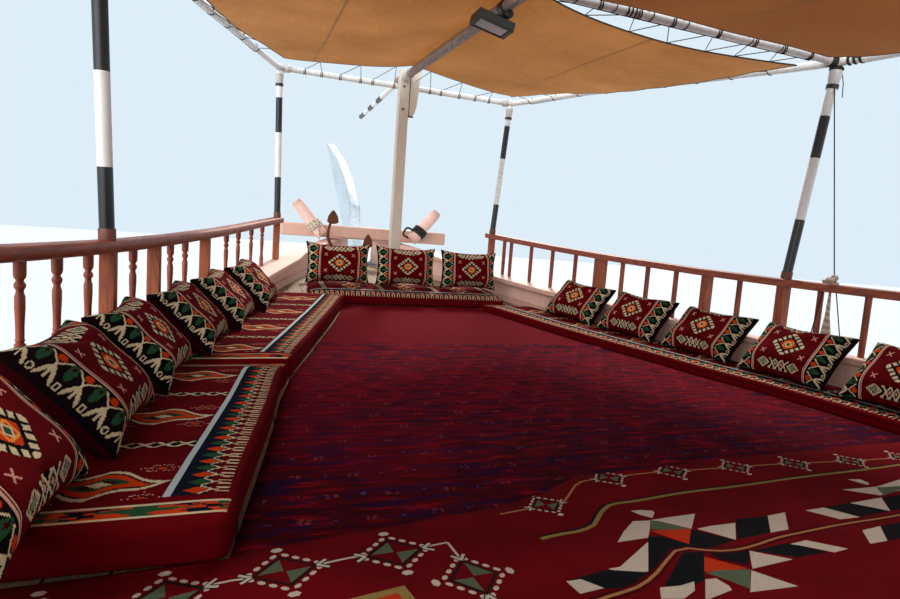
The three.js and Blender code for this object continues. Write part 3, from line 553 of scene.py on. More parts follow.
RED_WORN = (172, 104, 66)
VARNISH = wood("varnished_hardwood", (104, 38, 18), (140, 56, 26), (166, 78, 40), 0.5, 0.2, 0.6, 0.05, worn=RED_WORN)
VARNISH_UP = wood("varnished_turnings", (92, 32, 14), (136, 52, 22), (168, 76, 36), 0.5, 0.2, 0.7, 0.05, False,
                  worn=RED_WORN)
STANCHION = wood("stanchion_hardwood", (88, 30, 12), (146, 58, 26), (176, 86, 44), 0.56, 0.4, 1.0, 0.03, False,
                 worn=(176, 112, 72))
HULL_WOOD = wood("oiled_planking", (58, 32, 18), (104, 62, 34), (140, 92, 54), 0.55, 0.8, 0.6, 0.1)
DECK_WOOD = wood("scrubbed_deck", (98, 76, 54), (140, 114, 84), (176, 150, 116), 0.7, 0.8, seams=0.13)
SPAR_WOOD = wood("weathered_spar", (112, 96, 92), (150, 134, 128), (178, 162, 152), 0.7, 0.8)
PINK = paint("salmon_paint", (244, 196, 178), (160, 110, 84), fade=(252, 224, 212), streak=0.15)
BLUE = paint("pale_blue_paint", (206, 226, 240), (92, 90, 92), 0.7, fade=(236, 242, 246), streak=0.3)
CREAM = paint("house_paint", (224, 218, 202), (150, 120, 90), 0.6, streak=0.35)
MAST_PAINT = paint("mast_paint", (240, 228, 212), (150, 128, 108), 0.4, 0.55, streak=0.12)
PIPE_PAINT = paint("pipe_enamel", (236, 234, 230), (120, 98, 84), 0.5, 0.35, coat=0.2)
ENGINE_PAINT = paint("engine_enamel", (62, 96, 74), (60, 50, 44), 0.8, 0.45)
LAMP_BLACK = paint("lamp_enamel", (9, 10, 12), (60, 56, 52), 0.3, 0.45, fade=(18, 19, 22))
LAMP_GLASS = paint("lamp_glass", (176, 186, 190), (70, 66, 62), 0.1, 0.12, coat=0.6)
IRON = metal("rusty_iron", (74, 64, 58), 0.6, rust=0.8, metallic=0.6)
BRONZE = metal("bronze", (176, 132, 74), 0.32, rust=0.15, metallic=1.0)
DARK_ROPE = rope_finish("tarred_line", (48, 46, 48), (14, 13, 14))
GREY_ROPE = rope_finish("hemp_line", (232, 216, 196), (150, 130, 110))


def hull_finish():
    """Oiled planking, a pale blue sheer strake, a white boot top at the waterline and red-brown paint below."""
    made, shader, spot, _ = new_material("painted_hull")
    _, y, z = parts(spot)
    got = use(GRAIN, Place=stretch(spot, (1, 1, 1), ALONG_Y), Figure=0.6)
    colour = shades(got["Tone"], (62, 34, 18), (112, 66, 36), (148, 98, 58))
    # the deck's height again, as 1.15 + k (y - 1.7)^2, to find the strake under it
    away = y - 1.7
    bend = (away > 0) * 0.0052 + 0.0065
    under = bend * away * away + 1.15 - z
    colour = mixed(under < 0.36, colour, ink(86, 132, 150))
    colour = mixed(under.within(0.335, 0.36), colour, ink(232, 228, 218))
    wave = noise(spot, 2.5, 3.0) * 0.03
    colour = mixed(z < (wave + 0.12), colour, ink(222, 218, 208))
    colour = mixed(z < (wave + 0.02), colour, ink(116, 44, 34))
    old = use(WEATHER, Place=spot, Amount=0.9)
    colour = mixed(old["Stain"] * 0.4, colour, ink(70, 50, 36))
    run = drawn_out(spot, (9, 9, 0.6), 4.0)
    colour = mixed(span(run, 0.56, 0.8) * 0.45, colour, ink(96, 66, 44))
    colour = mixed(old["Chips"] * 0.8, colour, ink(120, 88, 62))
    surface(shader, colour, got["Fibre"] * 0.2 + old["Stain"] * 0.2 + 0.42,
            got["Fibre"] * 0.5 - old["Chips"] * 0.5, 0.4, 0.001)
    return made


HULL_PAINTED = hull_finish()
print("finishes", len(bpy.data.materials))

# %% [markdown]
# ## Planking
# The hull is planked edge to edge on frames: a dozen strakes a side, each a little
# rounded by the adze, with a caulked seam between, and a heavy wale under the deck.
# A row of points is one frame; along it the half breadth grows as a power of the
# height, which is full amidships and hollow at the bow.  The CAD hull is the same
# formula with few points; the piece here has a groove at every seam.

# %% Hull
def hull_rows(y, strakes=12):
    """x = 0.06 + (beam - 0.06) * share ** fullness, at heights from the keel to the wale."""
    y = np.asarray(y, float)[:, None]
    top, low, beam, power = sheer(y) - DECK_THICK, keel_z(y), half_beam(y), fullness(y)
    wale = np.minimum(0.26, (top - low) * 0.3)
    out = np.minimum(0.038, beam * 0.15)
    strake = ((0.04, 0), (0.3, 0), (0.7, 0), (0.96, 0), (1, 0.0035))  # share of its height, depth of the groove
    steps = [(s + d, cut) for s in range(strakes) for d, cut in strake]
    share, groove = np.array([(0.0, 0)] + steps[:-1] + [(strakes, 0)]).T
    share = share / strakes * (1 - wale / (top - low))
    z = low + share * (top - low)
    x = 0.06 + (beam - 0.06) * share ** power - groove
    part = lambda k: 0.06 + (beam - 0.06) * (1 - wale * k / (top - low)) ** power
    # the rubbing band on the wale: (share of the wale down from the deck, how far it stands out)
    rub = ((0.97, out), (0.9, out + 0.006), (0.52, out + 0.006), (0.45, out), (0.43, 0.0))
    x = np.concatenate([x] + [part(k) + stands for k, stands in rub] + [beam], 1)
    z = np.concatenate([z] + [top - k * wale for k, _ in rub] + [top], 1)
    rake = np.interp(y, [-8.15, -7.6, -7.0], [0.32, 0.144, 0])
    return np.stack([x, y + rake * (top - z), z], -1)


frames = np.r_[np.linspace(-8.15, 5, 66), np.linspace(5.15, 7.9, 34)]
side = hull_rows(frames)
both = np.concatenate([side[:, ::-1] * [-1, 1, 1], side], 1)
piece("hull_planking", [skin(both[:, ::-1])], HULL_PAINTED, "hull", 28, thick=0.05)
half = side.shape[1]
port_rim, starboard_rim = both[0, :half], both[0, half:][::-1]
lanes = np.linspace(0, 1, 17)[None, :, None]
flat = port_rim[:, None] * (1 - lanes) + starboard_rim[:, None] * lanes
piece("transom", [skin(flat[::-1])], HULL_PAINTED, crease=28, thick=0.05)
print("hull", both.shape, "highest side", round(float(side[..., 2].max()), 3))

# %% [markdown]
# ## Bulwarks, backbone and deck edge
# The bulwark is a strake of planks above the deck with a broad gunwale on top; forward
# it widens into a shelf.  It is a profile carried along the boat's side.  Rigid pieces
# whose CAD shape is right are dressed: the loose triangles are merged, the flat faces
# joined up and every edge eased with a small bevel, as a plane and sandpaper do.

# %% Bulwarks and dressed timbers
def bulwark(side):
    y = np.r_[np.linspace(-8.07, 4, 50), np.linspace(4.2, 7.85, 44)]
    w, t = half_beam(y), gunwale_z(y)
    inner = np.maximum(w - PLANK, 0.075)
    lip = np.maximum(inner - shelf(y), 0.072)
    low = deck_z(y) - DECK_THICK
    return ring_along(side, y, [
        (inner, low), (w, low), (w + 0.004, t - 0.045), (w + 0.038, t - 0.045), (w + 0.038, t), (lip, t),
        (lip, t - 0.045), (inner, t - 0.045)])


for word, s in PORT_AND_STARBOARD:
    piece("gunwale_and_bulwark_" + word, [bulwark(s)], PINK, "bulwark_" + word, bevel=0.008)


def dressed(node, name, material, body="boat", bevel=0.006):
    """A copy of a rigid CAD node, merged, with its flats joined and its edges eased, that stands for it."""
    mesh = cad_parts[node].data.copy()
    work = bmesh.new()
    work.from_mesh(mesh)
    bmesh.ops.remove_doubles(work, verts=work.verts, dist=1e-5)
    bmesh.ops.dissolve_limit(work, angle_limit=math.radians(0.6), verts=work.verts, edges=work.edges)
    bmesh.ops.recalc_face_normals(work, faces=work.faces)
    work.to_mesh(mesh)
    work.free()
    mesh.name = name
    mesh.materials.clear()
    mesh.materials.append(material)
    mesh.polygons.foreach_set("use_smooth", [True] * len(mesh.polygons))
    mesh.set_sharp_from_angle(angle=math.radians(30))
    return finished(placed(name, mesh), body, node, bevel)


dressed("keel_and_stem", "keel_and_stem_timber", BLUE, bevel=0.012)
dressed("stern_board", "stern_board_plank", PINK, bevel=0.01)
dressed("hatch_coaming", "hatch_coaming_timber", DECK_WOOD, bevel=0.006)
dressed("bow_beam", "bow_beam_timber", PINK, bevel=0.02)
for node in ("deck", "deck_aft"):
    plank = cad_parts[node].data
    plank.materials.clear()
    plank.materials.append(DECK_WOOD)
for word, s in PORT_AND_STARBOARD:
    y = np.r_[np.linspace(-8.0, 4, 40), np.linspace(4.3, 7.45, 26)]
    edge, low = half_beam(y) - PLANK - 0.001, deck_z(y) + 0.0006
    cove = [(edge + dx, low + dz) for dx, dz in ((0, 0), (0, 0.05), (-0.02, 0.05), (-0.045, 0.03), (-0.055, 0))]
    piece("covering_cove_" + word, [ring_along(s, y, cove)], PINK)

# %% [markdown]
# ## The handrail
# A cap on turned balusters, with square stanchions where the awning posts stand.  The
# balusters are turned on a lathe: a profile of radii carried round each upright line,
# richer to port than to starboard, from a table of places along the rail.

# %% Handrails
CAP_RING = [(-0.0525, -0.050), (-0.044, -0.052), (0.044, -0.052), (0.0525, -0.044), (0.0525, -0.012),
            (0.047, -0.003), (0.038, 0), (-0.038, 0), (-0.047, -0.003), (-0.0525, -0.012)]
TURNING = [(0.0171, 0), (0.0175, 0.15), (0.0171, 0.225), (0.0125, 0.238), (0.0125, 0.25), (0.0156, 0.262),
           (0.0129, 0.276), (0.0133, 0.4), (0.016, 0.56), (0.016, 0.66), (0.0118, 0.7), (0.0118, 0.725),
           (0.0163, 0.742), (0.0179, 0.765), (0.0163, 0.785), (0.0118, 0.8), (0.0118, 0.815), (0.0171, 0.835),
           (0.019, 0.86), (0.0194, 1.0)]
PLAIN = [(0.018, 0), (0.0195, 0.3), (0.0195, 0.96), (0.021, 1)]
# places along Y: forward they are the photograph's, aft they go by even steps on each side of the third post
AFT_TURNED = [round(start - 0.27 * k, 2) for start in (1.99, -0.64) for k in range(9)]
TURNED = {"port": [5.615, 5.29, 4.925, 4.62, 3.795, 3.56, 3.08, 2.67, 2.46, 2.255] + AFT_TURNED,
          "starboard": [5.845, 5.74, 5.44, 5.14, 4.835, 4.285, 4.025, 3.755, 3.23, 2.695, 2.435, 2.165]
                       + AFT_TURNED[1:]}
AFT_SQUARE = [(-0.37, 0.07), (-3.09, 0.07)]
SQUARE = {"port": [(6.047, 0.064), (4.165, 0.14), (3.335, 0.062), (2.835, 0.066)] + AFT_SQUARE,
          "starboard": [(6.047, 0.064), (4.53, 0.13), (3.485, 0.066), (2.925, 0.068)] + AFT_SQUARE}


def cap_top(y):
    return deck_z(y) + CAP_HIGH


for word, s in PORT_AND_STARBOARD:
    y = np.r_[np.linspace(-3.15, 3.0, 26), np.linspace(3.2, 6.09, 24)]
    cap = ring_along(s, y, [(half_beam(y) + s * dx, cap_top(y) + dz) for dx, dz in CAP_RING])
    piece("handrail_" + word, [cap], VARNISH, "rail_" + word, 50)
    turned, squared = [], []
    for y in TURNED[word]:
        foot, top = ((s * half_beam(y), y, z) for z in (gunwale_z(y) + 0.0005, cap_top(y) - 0.05))
        turned.append(turning(TURNING if s < 0 else PLAIN, foot, top, 14))
    for y, wide in SQUARE[word]:
        squared.append(block((s * half_beam(y) - 0.031, y - wide / 2, gunwale_z(y) + 0.0005),
                             (s * half_beam(y) + 0.031, y + wide / 2, cap_top(y) - 0.01)))
    piece("balusters_" + word, turned, VARNISH_UP, crease=42)
    piece("stanchions_" + word, squared, STANCHION, bevel=0.005)
print("balusters", {k: len(v) for k, v in TURNED.items()})

# %% [markdown]
# ## Awning posts and pipes
# The posts are steel pipe enamelled in black and white bands, and each ends in a
# brown collar on the handrail.  The bands have their own lengths on every post, so the
# band is a number kept on the faces and the finish reads it.

# %% Posts and pipes
def banded_finish(name, dark, pale):
    """Black where the faces' band is 0 and white where it is 1, with brush marks and scuffs."""
    made, shader, spot, _ = new_material(name)
    band = Field(add_node("Attribute", attribute_name="band").outputs["Fac"])
    old = use(WEATHER, Place=spot, Amount=0.6)
    brush = drawn_out(spot, (70, 70, 8), 3.0)
    black = mixed(old["Stain"] * 0.6, ink(*dark), ink(*[c + 34 for c in dark]))
    white = mixed(old["Stain"] * 0.5 + brush * 0.15, ink(*pale), ink(*[c * 0.78 for c in pale]))
    colour = mixed(band > 0.5, black, white)
    colour = mixed(old["Chips"], colour, ink(116, 84, 66))
    surface(shader, colour, old["Stain"] * 0.2 + brush * 0.15 + 0.28, brush * 0.5 - old["Chips"] * 0.6, 0.3, 0.0005)
    return made


BANDED = banded_finish("banded_enamel", (28, 28, 31), (240, 238, 234))
BROWN_PAINT = paint("collar_paint", (124, 62, 38), (70, 50, 42))
POST_RADIUS, PIPE_RADIUS = 0.03, 0.0265
# name: foot (x, y), top (x, y, z), heights where the colour changes; the lowest band is black
POSTS = {
    "port_1": ((-1.155, 6.047), (-1.19, 5.966, 3.45), (2.432, 2.853, 3.177)),
    "port_2": ((-1.993, 2.805), (-2.028, 2.712, 3.225), (2.141, 2.522)),
    "port_3": ((-2.412, -0.37), (-2.455, -0.44, 3.225), (2.15, 2.53, 2.86)),
    "starboard_1": ((1.155, 6.047), (1.217, 5.966, 3.45), (2.366, 2.862, 3.212)),
    "starboard_2": ((1.975, 2.92), (2.088, 2.837, 3.237), (2.232, 2.632, 2.898)),
    "starboard_3": ((2.412, -0.37), (2.47, -0.44, 3.225), (2.15, 2.53, 2.86)),
}
for name, (foot, top, changes) in POSTS.items():
    base, top = np.array([*foot, float(cap_top(foot[1])) + 0.001]), np.array(top)
    way = (top - base) / np.linalg.norm(top - base)
    rings = [0.0] + [(z - base[2]) / way[2] for z in changes] + [float(np.linalg.norm(top - base)) - 0.028]
    bands = [tube(base + way * np.linspace(a, b, 4)[:, None], POST_RADIUS, 20, UP_X)
             for a, b in zip(rings, rings[1:])]
    values = np.concatenate([np.full(len(w[2]), k % 2) for k, w in enumerate(bands)])
    piece("post_pipe_" + name, bands, BANDED, "post_" + name, values=values)
    collar = turning([(0.034, 0), (0.0345, 0.1), (0.0345, 0.9), (0.0325, 1.0)], base, base + way * 0.05, 24)
    piece("post_collar_" + name, [collar], BROWN_PAINT)

# the pipes along the sides: Y, how far out to port and to starboard, height; the row of zeros stands
# for the second post's head, which is filled in from POSTS because the two sides differ
SIDE_PIPES = np.array([
    (6.06, 1.15, 1.177, 3.456), (5.966, 1.19, 1.217, 3.45), (5.05, 1.535, 1.56, 3.425), (4.3, 1.77, 1.8, 3.37),
    (3.5, 1.93, 1.975, 3.3), (0, 0, 0, 0), (1.7, 2.24, 2.27, 3.205), (0.6, 2.4, 2.41, 3.215),
    (-0.44, 2.455, 2.47, 3.225), (-1.5, 2.39, 2.4, 3.28), (-2.5, 2.08, 2.08, 3.42), (-3.1, 1.64, 1.64, 3.56),
    (-3.5, 1.4576, 1.4576, 3.622), (-3.9, 1.4576, 1.4576, 3.622)])
side_runs = {}
for word, s in PORT_AND_STARBOARD:
    y, port, starboard, z = SIDE_PIPES.T
    points = np.stack([-port if s < 0 else starboard, y, z], 1)
    points[SIDE_PIPES[:, 3] == 0] = POSTS[word + "_2"][1]
    side_runs[word] = smooth_path(points, 90)
    pipe = tube(side_runs[word], PIPE_RADIUS, 16)
    piece("awning_pipe_" + word, [pipe], PIPE_PAINT, "side_pipe_" + word)
# the pipes across join the heads of a pair of posts; each end stops short of the post's middle
CROSS_PIPES = [(*(np.array(POSTS[f"{word}_{k}"][1]) for word, _ in PORT_AND_STARBOARD), short)
               for k, short in ((1, 0.0405), (2, 0.031), (3, 0.0285))]
for k, (a, b, short) in enumerate(CROSS_PIPES, 1):
    way = (b - a) / np.linalg.norm(b - a)
    line = np.linspace(a + way * short, b - way * short, 24)
    piece(f"awning_cross_pipe_{k}", [tube(line, PIPE_RADIUS, 16)], PIPE_PAINT, f"cross_pipe_{k}")
print("posts", list(POSTS), "side pipes", list(side_runs))

# %% [markdown]
# ## Mast post, ridge spar and bow staff
# The ridge of the awning lies on a round spar that a post carries at the bow, and
# from the post a staff runs out over the stem.  A flood lamp hangs under the spar.

# %% Spars and lamp
plate = np.array([(0.06, 3.14), (0.088, 3.142), (0.112, 3.165), (0.13, 3.23), (0.145, 3.38),
                  (0.165, 3.62), (0.06, 3.62)])
cheek = skin(np.stack([np.insert(plate, 1, y, axis=1) for y in (5.815, 5.91)]), closed=True, caps=True)
deck_at = float(deck_z(5.93)) + 0.0005
timber = [block((-0.05, 5.812, deck_at), (0.05, 5.912, 3.585)), cheek,
          *(block((0.0495, 5.83, low), (0.0605, 5.9, high)) for low, high in ((3.19, 3.25), (3.4, 3.43)))]
piece("mast_post_timber", timber, MAST_PAINT, "mast_post", bevel=0.005)
bolts = [turning([(0.011, 0), (0.011, 1)], (-0.008, 5.8125, z), (-0.008, 5.807, z), 10) for z in (3.2, 3.42)]
bolts += [block((0.052, 5.79, 3.128), (0.095, 5.822, 3.1395))]
piece("mast_bolts", bolts, IRON)
spar_z = lambda y: 3.37 + 0.0631068 * (y - 3.51)
on_spar = lambda a, b, count: np.linspace((0, a, spar_z(a)), (0, b, spar_z(b)), count)
ridge = on_spar(2.25, 5.812, 40)
spar = [tube(ridge, np.linspace(0.035, 0.038, 40), 20), tube(on_spar(5.912, 6.09, 4), 0.045, 20)]
piece("ridge_spar_pole", spar, SPAR_WOOD, "ridge_spar")
piece("spar_shoe", [tube(ridge[-3:], 0.046, 20)], PIPE_PAINT)
piece("lamp_strap", [tube(on_spar(3.36, 3.42, 3), 0.0445, 20)], LAMP_BLACK)
staff_marks = [6.0926, 6.9, 7.15, 7.4, 7.65, 7.95, 8.26]
staff, staff_values = [], []
for k, (a, b) in enumerate(zip(staff_marks, staff_marks[1:])):
    y = np.linspace(a, b, 5)
    staff.append(tube(np.stack([0 * y, y, 3.534 + (y - staff_marks[0]) * 0.0037], 1), 0.029, 18))
    staff_values += [(k + 1) % 2] * len(staff[-1][2])
piece("bow_staff_pole", staff, BANDED, "bow_staff", values=staff_values)
dressed("floodlight", "flood_lamp_housing", LAMP_BLACK, bevel=0.004)
print("ridge from", ridge[0].round(2), "to", ridge[-1].round(2))

# %% [markdown]
# ## Bow timbers and the grapnel
# Two mooring bitts lean outwards behind the thwart beam, round logs under layers of
# pink paint, with rope on them.  The grapnel lies on the foredeck end, forged from
# round bar with a beaten palm on every arm.

# %% Bitts and grapnel
def bitt_axis(side):
    """A bitt's head and the way down along it: it leans out by 40 degrees."""
    lean = math.radians(side * 40)
    return np.array([side * 0.89, 7.3021, 2.28]), -np.array([math.sin(lean), 0, math.cos(lean)])


for word, s in PORT_AND_STARBOARD:
    head, down = bitt_axis(s)
    at = np.linspace(0, 0.5, 12)
    radius = np.interp(at, [0, 0.03, 0.07, 0.5], [0.056, 0.066, 0.069, 0.071])
    log = tube(head + down * at[:, None], radius, 24, (0, 1, 0))
    piece(f"bitt_{word}_log", [log], PINK, f"bitt_{word}", 60)
crown = np.array([-0.5, 6.4, 1.686])
ARMS = [((-0.61, 6.38, 1.886), (-0.57, 6.34, 2.116), 0.062), ((-0.3, 6.4, 1.716), (-0.17, 6.4, 1.886), 0.055),
        ((-0.63, 6.42, 1.596), (-0.76, 6.4, 1.696), 0.05), ((-0.47, 6.42, 1.556), (-0.47, 6.4, 1.506), 0.055)]
# half of a palm's outline, from its broad end up to its point: (share of the half width, height)
PALM = np.array([(0, -0.095), (0.6, -0.09), (1, -0.07), (0.8, -0.01), (0.35, 0.035), (0, 0.055)])
palm = np.concatenate([PALM, PALM[-2:0:-1] * [-1, 1]])
shank = smooth_path([(-0.5, 6.35, 1.686), (-0.4, 6.85, 1.576), (-0.34, 7.15, 1.52)], 16)
bars = [tube(shank, np.linspace(0.026, 0.02, 16), 12)]
for mid, tip, wide in ARMS:
    bars.append(tube(smooth_path([crown, mid, tip], 14), np.linspace(0.022, 0.011, 14), 10, up=(0, 1, 0.1)))
    x, y, z = tip
    rim = np.stack([x + palm[:, 0] * wide, np.full(len(palm), y), z + palm[:, 1]], 1)
    bars.append(skin(np.stack([rim + [0, d, 0] for d in (-0.007, 0.007)]), closed=True, caps=True))
piece("grapnel_forging", bars, IRON, "grapnel", 45)
print("grapnel arms", len(ARMS))

# %% [markdown]
# ## Filling a cushion
# A seat cushion is two woven squares sewn together and stuffed.  It could be carved
# as a lens shape, but cloth that is blown up from inside makes its own crown, its own
# pulled seams and its own little folds, so a thin pillow is sewn from two grids that
# share their edge and the cloth solver fills it.  The UV is measured before that, so
# the kilim pattern keeps its place on the cloth.

# %% The cloth solver
def fill_cloth(made, pressure, cap, frames, shrink=0.0):
    """Blows the closed mesh up from inside and keeps the result; no point moves further than cap."""
    mesh = made.data
    start = np.empty(len(mesh.vertices) * 3, np.float32)
    mesh.vertices.foreach_get("co", start)
    cloth = made.modifiers.new("filling", "CLOTH")
    s = cloth.settings
    s.use_pressure, s.uniform_pressure_force = True, pressure
    s.effector_weights.gravity = 0
    s.quality, s.mass = 5, 0.3
    s.tension_stiffness = s.compression_stiffness = s.shear_stiffness = 15.0
    s.bending_stiffness = 0.5
    s.shrink_min = shrink
    scene = bpy.context.scene
    scene.frame_start, scene.frame_end = 1, frames
    cloth.point_cache.frame_start, cloth.point_cache.frame_end = 1, frames
    for f in range(1, frames + 1):
        scene.frame_set(f)
    out = np.empty(len(mesh.vertices) * 3, np.float32)
    made.evaluated_get(bpy.context.evaluated_depsgraph_get()).data.vertices.foreach_get("co", out)
    made.modifiers.remove(cloth)
    scene.frame_set(1)
    step = (out - start).reshape(-1, 3)
    far = np.linalg.norm(step, axis=1, keepdims=True)
    step *= np.minimum(1, cap / np.maximum(far, 1e-9))
    mesh.vertices.foreach_set("co", (start.reshape(-1, 3) + step).ravel())
    mesh.update()
    print(made.name, "filled, moved", round(float(far.mean()), 4), "m on average, most", round(float(far.max()), 4))


def stuffed(made):
    """Smooths the piece's cloth with one level of subdivision."""
    soft = made.modifiers.new("smooth cloth", "SUBSURF")
    soft.levels = soft.render_levels = 1

# %% [markdown]
# ## Mattresses
# Long flat cushions, boxed, as thick as a hand is wide, each covered in the same flat
# weave with a border along the side that faces the carpet.  The grid runs round the
# boxed section and along the boat, so its UV is the distance round the section, from
# the inboard bottom edge, and the distance along Y.

# %% Mattress shapes
port_edge = fair([(1.3, 1.46), (1.84, 1.38), (2.25, 1.32), (2.8, 1.25), (3.18, 1.15), (3.79, 0.98),
                  (4.53, 0.77), (5.16, 0.6)])
star_edge = fair([(1.3, 1.575), (1.81, 1.565), (2.08, 1.55), (2.49, 1.49), (2.79, 1.41), (3.13, 1.32), (3.54, 1.2),
                  (3.98, 1.06), (4.74, 0.83), (5.16, 0.7)])


def boxed(inner, outer, low, high, along, place, nx=22, nz=5, ease=0.022):
    """Closed rings of points round a boxed section at every place along.

    place puts (across, along, height) in the frame.  Each end is drawn in over the last
    3 cm, so it closes like a sewn end.
    """
    t, up = np.linspace(0, 1, nx), np.linspace(0, 1, nz)
    ends = np.minimum(along - along[0], along[-1] - along)
    draw = np.clip(1 - ends / 0.03, 0, 1)[:, None] ** 2
    a, b = inner[:, None] + draw * ease, outer[:, None] - draw * ease
    z0, z1 = low[:, None] + draw * ease * 0.3, high[:, None] - draw * ease
    rise, over = z0 + (z1 - z0) * up, a + (b - a) * t[1:-1]
    # inboard side, top, outboard side, under side
    across = np.concatenate([a + 0 * rise, over, b + 0 * rise, over[:, ::-1]], 1)
    height = np.concatenate([rise, z1 + 0 * over, rise[:, ::-1], z0 + 0 * over], 1)
    points = place(across, np.broadcast_to(along[:, None], across.shape), height)
    section = np.stack([across, height], -1)
    round_ = np.linalg.norm(np.diff(section, axis=1, append=section[:, :1]), axis=2)
    u = np.concatenate([np.zeros((len(along), 1)), round_.cumsum(1)], 1)
    v = np.broadcast_to(along[:, None], u.shape)
    return skin(points, uv=np.stack([u, v], -1), closed=True, caps=True)


def covered(name, shape, material):
    made = piece(name + "_cover", [shape], material, name, 180)
    fill_cloth(made, pressure=3.0, cap=0.012, frames=16)
    stuffed(made)


def mattress(name, side, edge, y0, y1, thick, material):
    y = np.linspace(y0, y1, int((y1 - y0) / 0.03))
    outer = half_beam(y) - PLANK - shelf(y) - 0.016
    low, high = deck_z(y) + 0.006, deck_z(y) + thick - 0.012
    shape = boxed(edge(y) - 0.014, outer, low, high, y, lambda a, b, z: np.stack([side * a, b, z], -1))
    covered(name, shape, material)

# %% [markdown]
# ## Dyes and the finish of woven cloth
# Flat weaves of this coast use few dyes: a madder ground, black, undyed cream, a
# little green and orange.  The finish of every woven piece is the same: the pattern's
# colour, a painted shade in the line between threads, fading in slow patches and the
# bump of the weave.  Only the pattern differs, so it is handed in.

# %% Woven cloth
MADDER, DEEP, BLACK, CREAM_DYE = ink(94, 3, 12), ink(56, 2, 9), ink(12, 10, 13), ink(204, 186, 150)
ORANGE, GREEN, NAVY, ROSE = ink(190, 56, 16), ink(32, 74, 46), ink(12, 20, 34), ink(206, 146, 130)
GREY_GREEN, SKY, OCHRE = ink(116, 134, 108), ink(172, 186, 184), ink(226, 140, 56)


def darkened(colour, share, tint=None):
    """The colour multiplied by a grey of that share, or by a tint."""
    return mixed(1.0, colour, tint or joined(share, share, share), "MULTIPLY")


def woven(name, pattern, pitch=0.0035, knot=0.0045, fade=0.2, bump=0.0009):
    """pattern(u, v, lay, ground) lays dyes on a ground through masks; u and v are metres, counted in whole knots."""
    made, shader, spot, uv = new_material(name)
    shake = noise(uv, 260.0, 1.0)
    u0, v0 = (w + (shake - 0.5) * knot * 0.5 for w in parts(uv)[:2])
    u, v = ((w / knot).floor() * knot + knot / 2 for w in (u0, v0))
    layers = [None]

    def lay(mask, colour):
        layers[0] = mixed(mask, layers[0], colour)

    def ground(colour):
        deeper = (*(c * 0.7 for c in colour[:3]), 1.0)
        layers[0] = mixed(span(noise(uv, 5.0, 3.0), 0.35, 0.65), colour, deeper)
    pattern(u, v, lay, ground)
    threads = use(WEAVE, Place=uv, Pitch=pitch)
    streak = drawn_out(uv, (12, 420, 1), 2.0)
    # the pattern darkened by the weave's painted shade between threads and by streaks of thread
    colour = darkened(layers[0], threads["Shade"] * (streak * 0.5 + 0.75))
    old = use(WEATHER, Place=spot, Amount=fade)
    colour = mixed(old["Stain"] * 0.3, colour, ink(92, 40, 34))
    surface(shader, colour, 0.9, threads["Height"], 0.55, bump, Sheen_Weight=0.0, Specular_IOR_Level=0.02)
    return made


def rhombus(u, v, half_u, half_v):
    """The share of the way out to a rhombus's edge: |u| / half_u + |v| / half_v."""
    return abs(u) / half_u + abs(v) / half_v


def oval(u, v, half_u, half_v):
    """The square of the share of the way out to an oval's edge."""
    u, v = u / half_u, v / half_v
    return u * u + v * v

# %% [markdown]
# ### The cushion's pattern
# Two rose ladders part the face in three.  Outside them stand trees: an orange bud at
# every step, held in the arms of a cream fork whose two petals open outwards, with a
# green leaf between.  In the middle lies a comb-edged diamond with four crosses about
# it, and above and below it a lattice of cream crosses between two lozenges.

